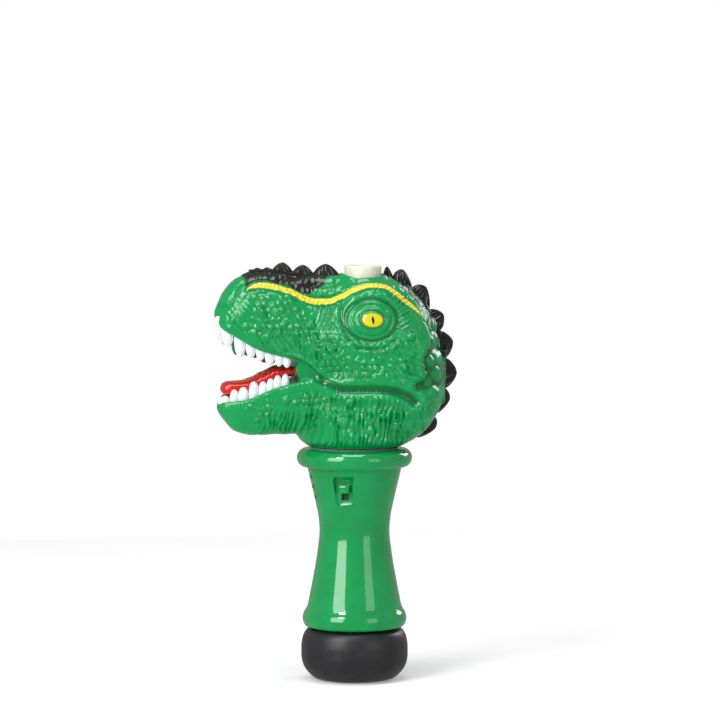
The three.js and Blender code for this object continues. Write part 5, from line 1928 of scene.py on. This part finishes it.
@dataclass
class Studio:
    """Camera, lights and a pale floor."""

    azimuth: float = 80.5
    elevation: float = 3.7
    distance: float = 1.9
    aim: tuple[float, float, float] = (0.0, 0.0028, 0.160)
    lens: float = 190
    ambient: float = 0.3
    reflected: float = 0.3
    glow: float = 0.25
    floor_reach: float = 650
    floor_gap: float = 0.3
    lamps: tuple[Lamp, ...] = (
        Lamp("key", (0.85, -1.0, 0.6), (0, 0, 0.1), (0.75, 0.95), 10),
        Lamp("high key", (0.9, -0.9, 1.3), (0, 0, 0.15), (0.4, 0.4), 6),
        Lamp("fill", (1.5, 0.9, 0.5), (0, 0, 0.12), (0.7, 1.0), 3),
        Lamp("top", (0.3, -0.1, 1.5), (0, 0, 0.15), (0.7, 0.7), 7.5),
        Lamp("back", (-0.9, 1.2, 0.9), (0, 0, 0.15), (0.6, 0.9), 7),
    )

    def backwards(self) -> Vector:
        """Give the direction from the object to the camera."""
        a, e = math.radians(self.azimuth), math.radians(self.elevation)
        return Vector((math.sin(a) * math.cos(e), -math.cos(a) * math.cos(e), math.sin(e)))

    def camera(self) -> None:
        """Put the camera where the object is seen from."""
        data = bpy.data.cameras.new("camera")
        data.lens, data.sensor_width = self.lens, 36
        data.clip_start, data.clip_end = 0.01, 50
        item = bpy.data.objects.new("camera", data)
        bpy.context.scene.collection.objects.link(item)
        back = self.backwards()
        item.location = Vector(self.aim) + back * self.distance
        item.rotation_mode = "QUATERNION"
        item.rotation_quaternion = (-back).to_track_quat("-Z", "Y")
        bpy.context.scene.camera = item

    def sweep(self) -> None:
        """Make the pale floor."""
        shader = Shader("studio_floor", 0.9)
        shader.feed(Base_Color=shader.mix(shader.noise(90), (0.9, 0.9, 0.9), (0.93, 0.93, 0.93)))
        shader.feed(Emission_Color=(1.0, 1.0, 1.0))
        shader.surface.inputs["Emission Strength"].default_value = self.glow
        corners = [(-1, -1), (1, -1), (1, 1), (-1, 1)]
        places = [(x * self.floor_reach, y * self.floor_reach, -self.floor_gap) for x, y in corners]
        item = mesh_object("studio_floor", np.array(places), [[0, 1, 2, 3]])
        item.data.materials.append(shader.material)
        item.visible_glossy = False

    def build(self) -> None:
        """Set everything up."""
        self.camera()
        for lamp in self.lamps:
            lamp.build()
        self.sweep()
        world = bpy.data.worlds.new("studio")
        world.use_nodes = True
        nodes, links = world.node_tree.nodes, world.node_tree.links
        rays = nodes.new("ShaderNodeLightPath")
        previous: Any = self.reflected
        for ray, strength in (("Is Diffuse Ray", self.ambient), ("Is Camera Ray", 1.0)):
            step = nodes.new("ShaderNodeMapRange")
            step.inputs["To Max"].default_value = strength
            links.new(rays.outputs[ray], step.inputs["Value"])
            if isinstance(previous, float):
                step.inputs["To Min"].default_value = previous
            else:
                links.new(previous, step.inputs["To Min"])
            previous = step.outputs[0]
        links.new(previous, nodes["Background"].inputs["Strength"])
        nodes["Background"].inputs["Color"].default_value = (1, 1, 1, 1)
        bpy.context.scene.world = world
        bpy.context.scene.view_settings.view_transform = "Standard"


def dress_inner_parts() -> None:
    """Give every carried-over node the procedural finish of its slot; the switch's body gets the very dark
    switch_case finish instead, as painted shade.
    """
    record = frame["record"]
    finishes = {finish.slot: finish.material() for finish in PLAIN_FINISHES}
    for name, item in frame["nodes"].items():
        # The switch's body is dressed very dark green: painted shade for the case seen through the slot.
        slot = "switch_case" if name == "switch_body" else slot_of(record, name)
        if slot in finishes:
            item.data.materials.clear()
            item.data.materials.append(finishes[slot])
            LOG.info("dressed %s as %s", name, slot)


def slot_of(record: dict, name: str) -> str:
    """Find the material slot that the record gives a node."""
    for part in record["subparts"]:
        if part["node"] == name:
            return part["material_slot"]
    return ""


def main() -> None:
    """Build every piece in order and report it."""
    logging.basicConfig(level=logging.INFO, format="%(message)s")
    Studio().build()
    head_screws = Screws("head_screw", ((-50, 188, 11), (-52, 131.5, 9), (36, 150, 16), (31, 182, 16)))
    handle_screws = Screws("handle_screw", ((-9, 65, 11.5), (9, 65, 11.5), (-14, 86, 7.5), (17.4, 98, 7.5)))
    crests, outlet = Crests(), Outlet()
    dress_inner_parts()
    finishes = {finish.slot: bpy.data.materials[finish.slot] for finish in PLAIN_FINISHES}
    black = SatinBlack("crest_black", (0.013, 0.0105, 0.0095), (0.034, 0.028, 0.025), (0.1, 0.26), 0.6, 0.025)
    pieces = [
        *Head().build(crests, head_screws, outlet),
        *crests.build(black.material()),
        Tongue().build(),
        outlet.build(),
        NeckCollar().build(finishes["grey_plastic"]),
        *Handle().build(handle_screws),
        Base().build(),
        head_screws.build(finishes["steel"]),
        handle_screws.build(finishes["steel"]),
    ]
    for piece in pieces:
        piece.data.calc_loop_triangles()
        LOG.info("%s: %d triangles", piece.name, len(piece.data.loop_triangles))


if __name__ == "__main__":
    main()
